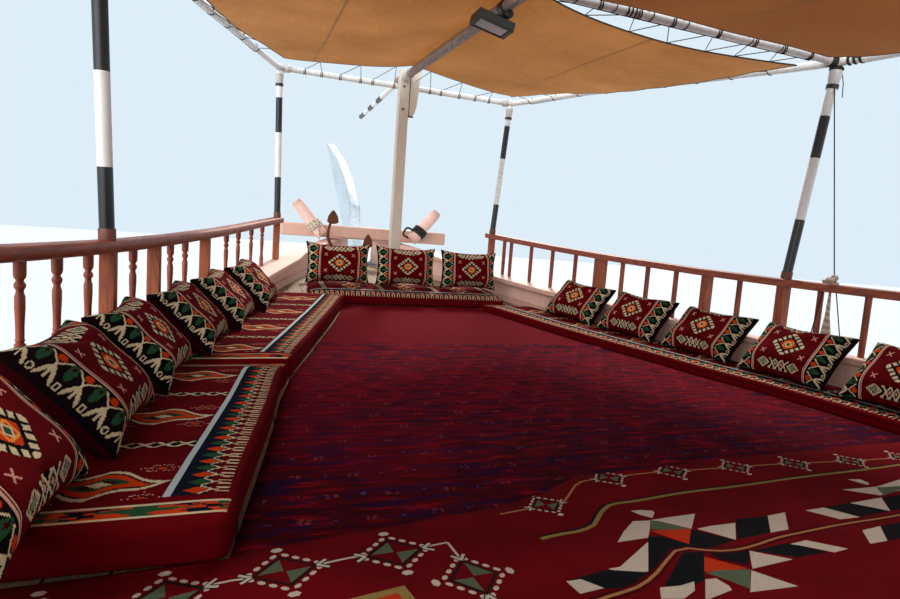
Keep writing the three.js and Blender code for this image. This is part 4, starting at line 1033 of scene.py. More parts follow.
# %% Cushion kilim
def cushion_pattern(u, v, lay, ground):
    a, b = abs(u), abs(v)
    ground(MADDER)
    # the ring: short strokes, cut by a saw wave of the difference of the two shares
    out = rhombus(u, v, 0.11, 0.096)
    comb = (a / 0.11 - b / 0.096).fold(0.21) / 0.21
    lay(out < 1.06, BLACK)
    lay(out.within(0.72, 1.06) & (comb < 0.62), CREAM_DYE)
    lay(out < comb * 0.05 + 0.5, ORANGE)
    lay((out < 0.5) & ((abs(a - 0.026) < 0.0035) | (abs(b - 0.022) < 0.0035)), OCHRE)
    lay(out < 0.24, CREAM_DYE)
    lay(out < 0.15, GREEN)
    # four small crosses
    du, dv = abs(a - 0.134), abs(b - 0.083)
    lay((abs(du - dv) < 0.0052) & ((du + dv) < 0.03), ROSE)
    # lattice bands above and below
    band = b - 0.172
    du, dv = abs(abs(a - 0.022) - 0.022), abs(band)
    inside = (dv < 0.033) & (a < 0.072)
    lay(inside, BLACK)
    lay(inside & (abs(du * 1.5 - dv) < 0.0075), CREAM_DYE)
    lay(inside & (rhombus(a - 0.022, band, 0.009, 0.012) < 1.0), ROSE)
    lay(inside & (rhombus(du - 0.022, dv - 0.033, 0.012, 0.014) < 1.0), CREAM_DYE)
    out = rhombus(a - 0.112, band, 0.048, 0.036)
    lay(out < 1.0, CREAM_DYE)
    lay(out < 0.78, BLACK)
    lay((out < 0.78) & (out > 0.5) & (a.fold(0.006) > 0.003), CREAM_DYE)
    lay(out < 0.42, GREY_GREEN)
    # trees in the side bands; w is the way out from the ladder
    w = a - 0.203
    lay(w > 0.0, BLACK)
    dv = abs(v.repeat(0.098))
    other = abs((v + 0.049).repeat(0.098))
    lay(oval(w - 0.048, other, 0.038, 0.0155) < 1.0, GREEN)
    lay(rhombus(w - 0.034, other, 0.016, 0.007) < 1.0, DEEP)
    lay((abs(dv - (0.06 - w) * 0.8) < 0.0042) & w.within(0.012, 0.062), CREAM_DYE)
    lay((dv < 0.0042) & w.within(0.054, 0.112), CREAM_DYE)
    lay(oval(w - 0.094, dv - (w - 0.094) * 0.55 - 0.0165, 0.027, 0.0075) < 1.0, CREAM_DYE)
    lay(oval(w - 0.11, other, 0.013, 0.0105) < 1.0, CREAM_DYE)
    lay(oval(w - 0.11, other, 0.007, 0.0055) < 1.0, NAVY)
    lay(oval(w - 0.025, dv, 0.021, 0.0185) < 1.0, DEEP)
    lay(oval(w - 0.025, dv, 0.017, 0.015) < 1.0, ORANGE)
    lay(w > 0.13, BLACK)
    # ladders
    lay(abs(a - 0.192) < 0.0125, DEEP)
    lay(abs(a - 0.192) < 0.0095, ink(206, 160, 140))
    lay((abs(a - 0.192) < 0.0026) & (v.fold(0.0045) > 0.002), MADDER)
    # the back and the edge strip are plain
    lay(u > 0.6, DEEP)


CUSHION_CLOTH = woven("cushion_kilim", cushion_pattern)

# %% [markdown]
# ### The mattress's pattern
# Along the carpet side: plain madder round the edge, cream forked buds with orange and
# green leaves on navy, and a pale stripe.  The rest is ladders of small crosses and
# long rhombs by turns, every 54 cm.  Near the ends lies a flame-dyed strip between two
# dotted lines, and beyond it the cloth is plain.

# %% Mattress kilim
def mattress_pattern(shift, first, ends, plain):
    """shift: how far the border is rolled over the edge; first: the place of a rhomb; ends: places of the
    flame strips; plain: spans along v with no pattern on them."""
    def pattern(u, v, lay, ground):
        ground(MADDER)
        t = u - 0.118 + shift
        field = t > 0.172
        dy = (v - first).repeat(0.54)
        away = abs(dy)
        # long rhombs, their pale border bent in waves
        mid = t - 0.335
        bend = (mid * 42).sine() * 0.012
        out = rhombus(mid, dy + bend, 0.155, 0.078)
        lay(field & (out < 1.06), CREAM_DYE)
        lay(field & (out < 0.88), BLACK)
        lay(field & (out < 0.78), ORANGE)
        lay(field & (out < 0.46), GREEN)
        lay(field & (out < 0.28), DEEP)
        lay(field & (rhombus(mid, dy, 0.03, 0.018) < 1.0), CREAM_DYE)
        # rosettes at its corners
        ru, rv = abs(mid) - 0.118, away - 0.088
        out = rhombus(ru, rv, 0.06, 0.034)
        petals = (u.fold(0.008) - 0.004) * (v.fold(0.006) - 0.003)
        lay(field & (out < 1.0) & (petals > 0.000003), ROSE)
        lay(field & (out < 0.45), BLACK)
        lay(field & (out < 0.28), ORANGE)
        # ladders of crosses between
        dz = (v - first + 0.27).repeat(0.54)
        cell = (t - 0.2).repeat(0.056)
        strip = field & (abs(dz) < 0.021)
        lay(strip, BLACK)
        lay(strip & (abs(abs(cell) - abs(dz) * 1.2) < 0.006), CREAM_DYE)
        lay(strip & (rhombus(cell, dz, 0.007, 0.009) < 1.0), ROSE)
        # the border
        step = 0.047
        dv = abs(v.repeat(step))
        odd = v / (step * 2) + 0.25
        lay(t.within(0.07, 0.15), NAVY)
        lay(oval(t - 0.035, dv - 0.0105, 0.02, 0.0042) < 1.0, CREAM_DYE)
        lay((dv < 0.0026) & t.within(0.045, 0.07), CREAM_DYE)
        lay((abs(dv - (t - 0.06) * 0.62) < 0.003) & t.within(0.06, 0.092), CREAM_DYE)
        leaf = rhombus(dv, t - 0.1, 0.0175, 0.032) < 1.0
        lay(leaf, GREEN)
        lay(leaf & (odd.fract() > 0.5), ORANGE)
        lay(t.within(0.151, 0.169), SKY)
        lay(t < 0.012, MADDER)
        lay(t.within(-0.028, -0.022), DEEP)
        # flame strips, and the plain cloth at the ends
        for low, high in plain:
            lay(v.within(low, high), MADDER)
        for y in ends:
            dz = abs(v - y)
            lay(dz < 0.06, MADDER)
            flame = (drawn_out(joined(t, v), (7, 60, 1), 1.0) * 1.3 + t * 4.2).fold(0.5) * 2
            run = (dz < 0.0235) & (t > 0.005)
            lay(run, NAVY)
            lay(run & flame.within(0.25, 0.62), ORANGE)
            lay(run & (flame > 0.62), GREEN)
            lay((abs(dz - 0.0265) < 0.0042) & (t > 0.005) & (t.fold(0.0045) > 0.0012), CREAM_DYE)
    return pattern


PORT_PLAIN = ((0, 1.36), (2.88, 3.0), (5.07, 9))
MATTRESS_CLOTH = woven("mattress_kilim", mattress_pattern(0.0, 1.52, (1.372, 2.878, 3.0, 5.07), PORT_PLAIN))
ROLLED_CLOTH = woven("mattress_kilim_rolled", mattress_pattern(0.05, 1.51, (1.372, 5.07), ((0, 1.36), (5.07, 9))))
FRONT_CLOTH = woven("mattress_kilim_front", mattress_pattern(0.06, 0.05, (), ()))

# %% [markdown]
# ### The carpet's pattern
# A cut pile in reds and dark blues: rows of small flowers that only just show against
# the ground, which is painted darker near the kilim as shade.  The nap lies in all directions, so a noise stretched
# across gives it streaks of painted sheen; trodden pile catches the light in patches, painted lighter.

# %% Pile carpet
def carpet_pattern(u, v, lay, ground):
    # painted shade: the ground is darker near the kilim and brightens between Y 1.5 and 2.9
    ground(ink(70, 3, 9))
    lay(span(v, 1.5, 2.9) * 0.9, ink(108, 7, 22))
    row = (v / 0.15 + 0.5).floor()
    place = joined(u, v)
    bent = noise(place, 9.0) * 0.06
    gu = (u + bent + row * 0.095).repeat(0.19)
    gv = (v + bent).repeat(0.15)
    out = rhombus(gu, gv, 0.088, 0.068)
    rough = noise(place, 60.0)
    blue, plum = ink(38, 6, 38), ink(62, 3, 22)
    worn = noise(place, 1.3, 3.0)
    drift = noise(place, 4.0)
    near = v < (drift * 0.12 + 3.72)
    live = near & (rough > 0.46)
    # streaks of the nap, painted dark and bright by turns as the pile's sheen, and blue ones that crowd near the kilim
    # and at the far border
    nap = drawn_out(place, (6, 34, 1), 4.0)
    lay(near * span(nap, 0.5, 0.6) * 0.8, ink(40, 2, 12))
    lay(near * span(nap, 0.44, 0.36) * 0.7, ink(126, 6, 24))
    tint = drawn_out(place, (4, 21, 1), 4.0)
    crowd = span(v, 2.6, 1.8, 0.35, 0.9) + span(v, 3.35, 3.7) * 0.5
    lay(near * span(tint, 0.5, 0.6) * crowd, ink(30, 7, 40))
    lay((live & out.within(0.7, 0.95)) * 0.7, blue)
    lay((live & out.within(0.42, 0.56)) * 0.7, plum)
    lay((live & (out < 0.28)) * 0.8, blue)
    lay((live & (out < 0.11)) * 0.7, ink(92, 52, 84))
    lay((live & abs(gu).within(0.078, 0.09) & (abs(gv) < 0.012)) * 0.6, ink(112, 56, 66))
    # trodden patches painted lighter: wear of the pile, and a painted highlight where it catches the light
    lay(span(worn, 0.5, 0.75) * 0.3, ink(124, 6, 24))
    far = v / 0.19
    lay(~near * 0.8, ink(96, 8, 22))
    lay(~near & (abs(far - (far + 0.5).floor()) < 0.07) & (rough > 0.5), ink(92, 3, 18))


CARPET_WOOL = woven("carpet_pile", carpet_pattern, pitch=0.005, knot=0.007, fade=0.15, bump=0.0016)

# %% [markdown]
# ### The floor kilim's dyes
# The flat kilim on the floor has large crooked figures that no formula repeats, so
# they are drawn as polygons and each face of its mesh keeps the number of its dye.

# %% Kilim dyes and canvas
# ground, White, Black, Green, Orange, oLive, Tan, Deep red: a figure's letter gives its dye's number
KILIM_DYES = [ink(98, 5, 14), ink(178, 166, 152), ink(16, 19, 22), ink(78, 90, 70), ink(170, 48, 20),
              ink(130, 108, 60), ink(150, 104, 66), ink(66, 4, 12)]


def kilim_pattern(u, v, lay, ground):
    dye = Field(add_node("Attribute", attribute_name="band").outputs["Fac"])
    drift = noise(joined(u, v), 3.0, 3.0)
    ground(KILIM_DYES[0])
    lay(span(drift, 0.45, 0.7) * 0.5, ink(94, 3, 12))
    for number, colour in enumerate(KILIM_DYES[1:], 1):
        lay(abs(dye - number) < 0.5, colour)


KILIM_CLOTH = woven("floor_kilim", kilim_pattern, pitch=0.004, fade=0.2)


def canvas():
    """Tan cotton duck.  Light comes through it, and its seams, of two layers, let less through."""
    made, shader, spot, _ = new_material("awning_canvas")
    x, y, _ = parts(spot)
    place = joined(x, y)
    threads = use(WEAVE, Place=place, Pitch=0.0042)
    long, cross = drawn_out(place, (300, 9, 1), 2.0), drawn_out(place, (9, 300, 1), 2.0)
    cloth = noise(place, 1.1, 4.0)
    # the tone carries the weave's painted shade between threads
    tone = threads["Shade"] * ((long + cross) * 0.5 + 0.5)
    colour = darkened(mixed(span(cloth, 0.35, 0.7), ink(216, 188, 150), ink(198, 168, 130)), tone)
    # painted shade: the cloth aft of Y 2.86, the middle and aft sheets, is coloured darker
    colour = mixed((y < 2.86) * 0.45, colour, ink(146, 100, 62))
    # seams run fore and aft between cloths 0.92 m wide
    off = abs(x.repeat(0.92))
    seam = off < 0.009
    stitch = (abs(off - 0.007) < 0.0012) & (y.fold(0.005) > 0.002)
    colour = mixed(seam * 0.2, colour, ink(140, 98, 60))
    colour = mixed(stitch * 0.6, colour, ink(210, 180, 140))
    old = use(WEATHER, Place=spot, Amount=0.6)
    colour = mixed(old["Stain"] * 0.25, colour, ink(140, 100, 64))
    surface(shader, colour, 0.92, threads["Height"] + long * 0.5 + seam * 1.5, 0.5, 0.0012, Specular_IOR_Level=0.1)
    clear = add_node("BsdfTranslucent", {0: darkened(colour, None, ink(255, 236, 212))})
    share = mixed(seam, ink(214, 214, 214), ink(176, 176, 176))
    both = add_node("MixShader", {0: share, 1: shader.outputs[0], 2: clear.outputs[0]})
    put(drawing.nodes["Material Output"].inputs[0], both.outputs[0])
    return made


AWNING_CLOTH = canvas()

# %% Mattress pieces
mattress("mattress_port_1", -1, port_edge, 1.29, 2.937, 0.13, MATTRESS_CLOTH)
mattress("mattress_port_2", -1, port_edge, 2.945, 5.147, 0.13, MATTRESS_CLOTH)
mattress("mattress_starboard", 1, star_edge, 1.303, 5.147, 0.08, ROLLED_CLOTH)
x = np.linspace(-0.895, 0.995, 62)
covered("mattress_front", boxed(5.18 + 0 * x, 5.757 + 0 * x, 0 * x + 0.012, 0 * x + 0.118, x,
                                lambda a, b, z: np.stack([b, a, z + deck_z(a)], -1), nx=20), FRONT_CLOTH)

# %% [markdown]
# ## Kilim cushions
# Fourteen of them, 65 by 46 cm, leaning on the rails and on the bow timbers.  Each is
# sewn flat, filled, and then turned and leaned into its place from a table.  Three
# fillings with other seeds keep them from being twins.

# %% Cushions
WIDE, HIGH, THICK = 0.65, 0.46, 0.17
SEWN_WIDE, SEWN_HIGH = 0.69, 0.49
COLUMNS, ROWS = 44, 32
SEEDS = (3, 8, 21)


def pillow(seed):
    """Two grids that share their edge, drawn in at its middle; half thickness goes as (1 - u^4)(1 - v^4)."""
    draw = np.random.default_rng(seed)
    u, v = np.meshgrid(np.linspace(-1, 1, COLUMNS + 1), np.linspace(-1, 1, ROWS + 1))
    puff = np.maximum((1 - u**4) * (1 - v**4), 0) ** 0.62
    waves = zip(draw.uniform(-0.07, 0.07, 6), draw.integers(1, 4, 6), draw.integers(1, 4, 6),
                draw.uniform(0, 6, 6), draw.uniform(0, 6, 6))
    lumps = sum(a * np.sin(k * u * 2 + p) * np.cos(l * v * 2 + q) for a, k, l, p, q in waves)
    x = u * WIDE / 2 * (1 - 0.07 * (1 - v**2))
    z = v * HIGH / 2 * (1 - 0.095 * (1 - u**2))
    deep = 0.004 + (THICK / 2 - 0.014) * puff * (1 + lumps)
    n = (ROWS + 1) * (COLUMNS + 1)
    edge = (np.abs(u) == 1) | (np.abs(v) == 1)
    front_points, back_points = (np.stack([x, np.where(edge, 0, d), z], -1).reshape(-1, 3) for d in (-deep, deep))
    number = np.arange(n)
    inner = ~edge.ravel()
    back_number = number.copy()
    back_number[inner] = n + np.arange(inner.sum())
    points = np.concatenate([front_points, back_points[inner]])
    i, j = (a.ravel() for a in np.meshgrid(np.arange(ROWS), np.arange(COLUMNS), indexing="ij"))
    a = i * (COLUMNS + 1) + j
    quad = np.stack([a, a + 1, a + COLUMNS + 2, a + COLUMNS + 1], 1)
    # the cloth's own measure: the distance walked over the swelling from the middle, brought to the sewn size
    over = np.hypot(np.diff(x, axis=1, prepend=x[:, :1]), np.diff(deep, axis=1, prepend=deep[:, :1])).cumsum(1)
    up = np.hypot(np.diff(z, axis=0, prepend=z[:1]), np.diff(deep, axis=0, prepend=deep[:1])).cumsum(0)
    flat = np.stack([(over / over[:, -1:] - 0.5) * SEWN_WIDE, (up / up[-1:] - 0.5) * SEWN_HIGH], -1).reshape(-1, 2)
    corners = np.concatenate([quad.ravel(), back_number[quad[:, ::-1]].ravel()])
    uv = np.concatenate([flat[quad.ravel()], flat[quad[:, ::-1].ravel()] + [2.0, 0]])
    return points, corners, np.full(2 * len(quad), 4), uv


def filled_pillow(seed):
    """The pillow's points after the cloth solver has filled it; the object it was filled in is removed."""
    made = piece(f"pillow_form_{seed}", [pillow(seed)], CUSHION_CLOTH, crease=180)
    fill_cloth(made, pressure=4.0, cap=0.022, frames=20, shrink=0.02)
    out = np.empty(len(made.data.vertices) * 3, np.float32)
    made.data.vertices.foreach_get("co", out)
    bpy.data.objects.remove(made)
    return out.reshape(-1, 3).astype(float)


fillings = {seed: filled_pillow(seed) for seed in SEEDS}
# name: foot x, foot y, the way the face looks (degrees from -Y towards +X), lean back from upright
CUSHIONS = {
    "port_1": (-1.78, 1.31, 88, 44), "port_2": (-1.715, 1.95, 88, 44), "port_3": (-1.65, 2.57, 86, 45),
    "port_4": (-1.525, 3.19, 84, 45), "port_5": (-1.385, 3.805, 82, 45), "port_6": (-1.22, 4.42, 80, 45),
    "starboard_1": (1.645, 1.94, -88, 43), "starboard_2": (1.6, 2.59, -84, 43), "starboard_3": (1.53, 3.235, -81, 43),
    "starboard_4": (1.39, 3.85, -77, 42), "starboard_5": (1.23, 4.455, -74, 42),
    "front_1": (-0.615, 5.48, 0, 12), "front_2": (0.04, 5.48, 0, 12), "front_3": (0.695, 5.48, 0, 12),
}


def turned_to(x, y, yaw, lean):
    """Stands the pillow on its edge, leans it back, turns it to its yaw and follows the deck's slope."""
    rise = math.atan((float(deck_z(y + 0.2)) - float(deck_z(y - 0.2))) / 0.4)
    return (Matrix.Translation((x, y, 0)) @ Matrix.Rotation(rise, 4, "X") @ Matrix.Rotation(math.radians(yaw), 4, "Z")
            @ Matrix.Rotation(math.radians(-lean), 4, "X") @ Matrix.Translation((0, 0, HIGH / 2)))


SIZES = {"p": (0.94, 0.94, 0.94, 1), "s": (0.955, 0.955, 0.955, 1), "f": (1, 1, 0.91, 1)}
for k, (name, (x, y, yaw, lean)) in enumerate(CUSHIONS.items()):
    seed = SEEDS[k % 3]
    shape = pillow(seed)
    shape = (fillings[seed], *shape[1:])
    points, *rest = moved(shape, turned_to(x, y, yaw, lean) @ Matrix.Diagonal(SIZES[name[0]]))
    points[:, 2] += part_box("cushion_" + name)[0][2] - points[:, 2].min()
    cover = [(points, *rest)]
    stuffed(piece(f"cushion_{name}_cover", cover, CUSHION_CLOTH, "cushion_" + name, 180))
print("cushions", len(CUSHIONS))

# %% [markdown]
# ## Carpet
# A red pile rug trodden flat, tucked under the mattresses along both sides.  It is one
# thin sheet with slow waves along its edges and one soft fold across, where the pile
# was pushed up.

# %% Carpet
rows = np.array([1.05, 1.31, 1.5, 1.9, 2.3, 2.6, 2.95, 3.3, 3.6, 4.0, 4.3, 4.7, 5.0, 5.17])
beside = np.maximum(rows, 1.31)
left, right = 0.012 - port_edge(beside), star_edge(beside) - 0.012
y = np.linspace(rows[0], rows[-1], 200)
a, b = np.interp(y, rows, left), np.interp(y, rows, right)
t = np.linspace(0, 1, 90)
x = a[:, None] + (b - a)[:, None] * t
y_grid = np.broadcast_to(y[:, None], x.shape)
edge = np.minimum(np.minimum(t, 1 - t)[None] * (b - a)[:, None], np.minimum(y - y[0], y[-1] - y)[:, None])
wave = 0.0012 * (1 + np.sin(y_grid * 7.1 + x * 2.0)) * np.exp(-edge / 0.12)
crest = 3.72 + 0.04 * np.sin(x * 2.3)
z = deck_z(y_grid) + 0.001 + wave
z = z + 0.007 * np.exp(-((y_grid - crest) / 0.05) ** 2)
sheet = skin(np.stack([x, y_grid, z + 0.010], -1), uv=np.stack([x, y_grid], -1))
carpet = piece("red_carpet", [sheet], CARPET_WOOL, "carpet", thick=0.010)
carpet_area = float(np.trapz(right - left, rows))
carpet_flat = (round(float((right - left).max()), 3), 4.12)
print("carpet flat", carpet_flat, "area", round(carpet_area, 3))

# %% [markdown]
# ## Floor kilim
# The kilim in front is a flat weave with large crooked figures: stepped bars, a
# wandering stripe, and comb-edged diamonds strung on thin lines.  Weavers of such rugs
# turn the same drawing end for end, so the half that faces aft is the half that shows,
# turned about the middle.  All the outlines go into one constrained triangulation, and
# each triangle keeps the dye of the last figure that covers it.

# %% Kilim figures
def corners(millimetres):
    """Points in metres from x and y by turns in millimetres."""
    return (np.array(millimetres, float) / 1000).reshape(-1, 2)


def dye(letter):
    return "WBGOLTD".index(letter) + 1


# a figure to a line: its dye's letter, then x and y of each corner in millimetres
BARS = [
    ("W", -317, 1348, -283, 1348, -247, 1337, -249, 1324, -281, 1294, -304, 1319),
    ("W", -298, 1283, -220, 1290, -124, 1295, -209, 1214, -270, 1272),
    ("G", -300, 1278, -270, 1272, -214, 1215, -281, 1217, -332, 1236),
    ("W", -473, 1191, -414, 1243, -352, 1288, -297, 1282, -332, 1239, -371, 1195),
    ("O", -340, 1228, -276, 1222, -210, 1214, -281, 1141),
    ("B", -368, 1200, -332, 1195, -281, 1141, -214, 1209, -129, 1135, -222, 1114, -256, 1112, -320, 1129,
     -443, 1054, -480, 1052),
    ("W", -574, 1084, -539, 1085, -386, 1176, -480, 1053, -538, 1054),
    ("B", -703, 1062, -582, 1081, -482, 1050, -566, 1013, -621, 1020, -695, 1057),
    ("W", -704, 1060, -665, 1060, -625, 1023, -692, 1017),
    ("W", -192, 1211, -138, 1218, -44, 1220, -127, 1134),
    ("B", -23, 1239, 102, 1239, 12, 1148, -120, 1136),
    ("W", 102, 1239, 181, 1247, 89, 1154, 14, 1148),
    ("B", -473, 1002, -352, 1092, -326, 1107, -268, 1099, -357, 1000, -416, 988),
    ("O", -287, 1078, -204, 1016, -264, 1020, -334, 1026),
    ("G", -332, 1023, -285, 1024, -201, 1012, -266, 950, -293, 990),
    ("W", -351, 1003, -320, 1001, -308, 972, -314, 956, -396, 939, -407, 941),
    ("B", -259, 1103, -134, 1082, -189, 1027, -255, 1057),
    ("W", -138, 1077, -44, 1024, -193, 1013),
    ("B", -130, 1076, 7, 1090, 93, 1031, -21, 1028),
    ("W", 13, 1083, 82, 1091, 171, 1033, 111, 1027),
    ("W", -201, 1009, -134, 931, -277, 938),
    ("W", 319, 1102, 406, 1110, 337, 1041, 265, 1039),
    ("B", 407, 1110, 597, 1119, 526, 1049, 338, 1040),
    ("W", 263, 1245, 348, 1248, 403, 1170, 321, 1172),
    ("B", 352, 1250, 491, 1261, 549, 1181, 405, 1170),
    ("W", 475, 1256, 638, 1268, 556, 1182),
    ("B", 640, 1265, 857, 1283, 740, 1184, 557, 1182),
    ("W", 558, 1347, 722, 1344, 1001, 1403, 921, 1324, 654, 1283),
    ("G", 714, 1339, 887, 1329, 670, 1280),
    ("W", 678, 1419, 732, 1410, 733, 1377, 705, 1361),
    ("W", -487, 1000, -432, 996, -385, 1002, -408, 974, -457, 953, -511, 965),
    ("L", -1215, 1098, -1075, 1124, -1050, 1020, -1190, 1000),
    ("O", -1185, 1083, -1097, 1099, -1079, 1040, -1165, 1025),
    ("B", -1150, 1068, -1120, 1073, -1114, 1052, -1144, 1048),
]
OLIVE_LINE = corners([-669, 1256, -609, 1266, -536, 1273, -492, 1288, -433, 1344, -363, 1397, -250, 1411,
    -59, 1437, 207, 1450, 507, 1470, 840, 1488, 1091, 1506])
TAN_LINE = corners([-1300, 900, -950, 945, -684, 987, -631, 997, -532, 1014, -454, 1049, -390, 1091,
    -332, 1123, -293, 1122, -257, 1104, 55, 1126, 267, 1144, 559, 1154, 900, 1200, 1300, 1300])
NEAR_LINE = corners([-1930, 1170, -1805, 1185, -1603, 1204, -1500, 1221, -1404, 1224, -1324, 1236,
    -1250, 1247, -1160, 1264, -1062, 1266, -919, 1286])
NEAR_TURN = corners([-919, 1286, -905, 1056, -911, 918, -930, 600])
FAR_LINE = corners([-719, 1405, -650, 1417, -486, 1447, -437, 1496, -368, 1562, -209, 1589, -42, 1602,
    166, 1596, 446, 1590, 908, 1571, 1177, 1563, 1450, 1560])


def ribbon(line, half, shift=0.0):
    """A strip of the half width on each side of a line, moved to its left by the shift."""
    line = smooth_path(line, 4 * len(line)) if len(line) > 2 else np.asarray(line, float)
    way = np.gradient(line, axis=0)
    left = np.stack([-way[:, 1], way[:, 0]], 1) / np.linalg.norm(way, axis=1, keepdims=True)
    return np.concatenate([line + left * (shift - half), (line + left * (shift + half))[::-1]])


def strung_diamond(x, y, turn, size=1.0):
    """A diamond with two green triangles, white seeds along its sides and forked feet, turned by an angle."""
    way = np.array([math.cos(turn), math.sin(turn)])
    left = np.array([-way[1], way[0]])
    at = lambda pairs: np.array(pairs) @ np.array([way, left]) * size + [x, y]
    a, b = 0.064, 0.054
    ring = np.linspace(0, 2 * np.pi, 7)[:-1]
    made = [(dye("B"), at([(-a - .01, 0), (0, -b - .009), (a + .01, 0), (0, b + .009)])),
            (0, at([(-a, 0), (0, -b), (a, 0), (0, b)]))]
    made += [(dye("G"), at([(-s * a + s * .004, s * .002), (-s * .003, s * b - s * .004), (-s * .003, s * .002)]))
             for s in (1, -1)]
    for su in (-1, 1):
        for sv in (-1, 1):
            side = np.array([su * a, -sv * b]) / math.hypot(a, b)
            for k in range(4):
                t = (k + 0.35) / 4
                mid = np.array([su * (a + .021) * (1 - t), sv * (b + .021) * t + sv * 0.004])
                across = np.array([-side[1], side[0]])
                seed = mid + np.cos(ring)[:, None] * side * 0.0105 + np.sin(ring)[:, None] * across * 0.0068
                made.append((dye("W"), at(seed)))
        for colour, reach in ((dye("B"), 0.0075), (dye("W"), 0.0042)):
            for bend in (-1, 1):
                made.append((colour, at(ribbon([(su * .074, 0), (su * .098, bend * .017)], reach))))
        dot = np.stack([np.cos(ring) * .015, su * .094 + np.sin(ring) * .0105], 1)
        made.append((dye("W"), at(dot)))
    return made


def along_line(line, places):
    """Where a line is, and which way it runs, at places given by their x (or by y where it runs fore and aft)."""
    line = np.asarray(line, float)
    axis = 0 if np.ptp(line[:, 0]) > np.ptp(line[:, 1]) else 1
    order = np.argsort(line[:, axis])
    for at in places:
        other = np.interp([at - 0.02, at, at + 0.02], line[order, axis], line[order, 1 - axis])
        turn = math.atan2(other[2] - other[0], 0.04)
        yield (at, other[1], turn) if axis == 0 else (other[1], at, math.pi / 2 - turn)


bars = [(dye(letter), corners(outline)) for letter, *outline in BARS]
figures = [(dye("D"), ribbon(TAN_LINE, .013)), *bars, (dye("D"), ribbon(TAN_LINE, .012)),
           (dye("T"), ribbon(TAN_LINE, .004)), (dye("B"), ribbon(OLIVE_LINE, .011)),
           (dye("L"), ribbon(OLIVE_LINE, .0065, -.0035))]
# line, its dye, the diamonds' size and their places on it
threaded = [(NEAR_LINE, "W", 1.0, (-1.8, -1.562, -1.324, -1.062)), (NEAR_TURN, "W", 1.0, (1.125, .87)),
            (FAR_LINE, "T", 0.72, (-.556, -.232, .045, .327, .61, .9, 1.19))]
for line, letter, size, places in threaded:
    figures.append((dye(letter), ribbon(line, .0035)))
    for x, y, turn in along_line(line, places):
        figures += strung_diamond(x, y, turn, size)
# Y, left edge, right edge
KILIM_ROWS = [(y, left, 1.5) for y, left in (
    (-.95, -1.95), (.6, -1.95), (1.31, -1.95), (1.316, -1.43), (1.34, -1.409), (1.402, -1.015), (1.452, -.698),
    (1.507, -.538), (1.616, -.343), (1.656, .219), (1.699, .885))] + [(1.712, 1.1, 1.48)]
outline = [(b, y) for y, _, b in KILIM_ROWS] + [(a, y) for y, a, _ in KILIM_ROWS[::-1]]
turned_end = [(number, [-.45, .76] - np.asarray(shape, float)) for number, shape in figures]
print("figures", 2 * len(figures))


def drawn_sheet(outline, figures, step=0.08):
    """Triangles inside the outline, whose edges follow every figure's, with the last figure's dye on each."""
    area = lambda p: np.cross(p, np.roll(p, -1, 0)).sum()
    shapes = [np.asarray(shape, float) for shape in [outline] + [shape for _, shape in figures]]
    shapes = [shape if area(shape) > 0 else shape[::-1] for shape in shapes]
    dyes = np.array([0] + [number for number, _ in figures])
    starts = np.cumsum([0] + [len(s) for s in shapes])
    faces = [list(range(a, b)) for a, b in zip(starts, starts[1:])]
    low, high = shapes[0].min(0) + 0.03, shapes[0].max(0) - 0.03
    grid = np.stack(np.meshgrid(*(np.arange(l, h, step) for l, h in zip(low, high))), -1).reshape(-1, 2)
    points = [Vector(p) for p in np.concatenate(shapes + [grid])]
    made, _, triangles, _, _, inside = delaunay_2d_cdt(points, [], faces, 1, 1e-5, True)
    kept = [k for k, held in enumerate(inside) if 0 in held]
    top_dyes = dyes[[max(inside[k]) for k in kept]]
    return np.array([tuple(p) for p in made]), np.array([triangles[k] for k in kept]), top_dyes


flat_points, triangles, dyes = drawn_sheet(outline, turned_end + figures)
x, y = flat_points.T
on_carpet = np.interp(y, [0.98, 1.06], [0.0, 1.0]) * np.interp(x, [-1.52, -1.45], [0.0, 1.0])
edge_wave = 0.001 * (1 + np.sin(x * 6.3 + y * 3.1)) * on_carpet
high = deck_z(y) + 0.0012 + on_carpet * 0.0115 + edge_wave + 0.004
shape = (np.column_stack([x, y, high]), triangles.ravel(), np.full(len(triangles), 3), flat_points[triangles.ravel()])
kilim = piece("flat_kilim", [shape], KILIM_CLOTH, "kilim", 180, thick=0.004, values=dyes)

# %% [markdown]
# ## Awning
# Three sheets of tan canvas laced to the pipes, the foremost one laid over the ridge
# spar.  A sheet that is held along its sides and ridge hangs in a shallow curve between
# them, so each is one grid: the straight line from ridge to edge, less a dip that is
# greatest half way.  Canvas drawn out by cords at even steps also curves in between them, along its
# sides and, deeply, along the after edge of the foremost sheet.

# %% Canvas
LACED = 0.3  # from one cord to the next, in metres


def slack(y):
    """How far the edge has curved in between two cords: 0 at a cord and 1 half way to the next."""
    return np.abs(np.sin((np.asarray(y) - 5.68) * np.pi / LACED))


def awning(name, rows, dip, aft, fore, cells=96):
    """Rows are (y, half width, edge height, ridge height); aft and fore give the ends' y from u, across, -1 to 1."""
    y0, half, edge, ridge = np.array(sorted(rows)).T
    w0, e0, r0 = (fair(list(zip(y0, a))) for a in (half, edge, ridge))
    u = np.linspace(-1, 1, cells + 1)[None]
    s = np.linspace(0, 1, cells)[:, None]
    y = aft(u) * (1 - s) + fore(u) * s
    a = np.abs(u)
    x = (w0(y) - 0.028 * slack(y) * a**6) * u
    z = e0(y) + (r0(y) - e0(y)) * (1 - a) - dip * 4 * a * (1 - a) - 0.012 * slack(y) * a**4
    z = z + 0.005 * np.sin(x * 5.2 + y * 1.7) * np.sin(y * 3.1 - x) * (1 - a**4)
    points = np.stack([x, y, z], -1)
    made = piece(name + "_canvas", [skin(points)], AWNING_CLOTH, name, 180, thick=0.002)
    return made, points


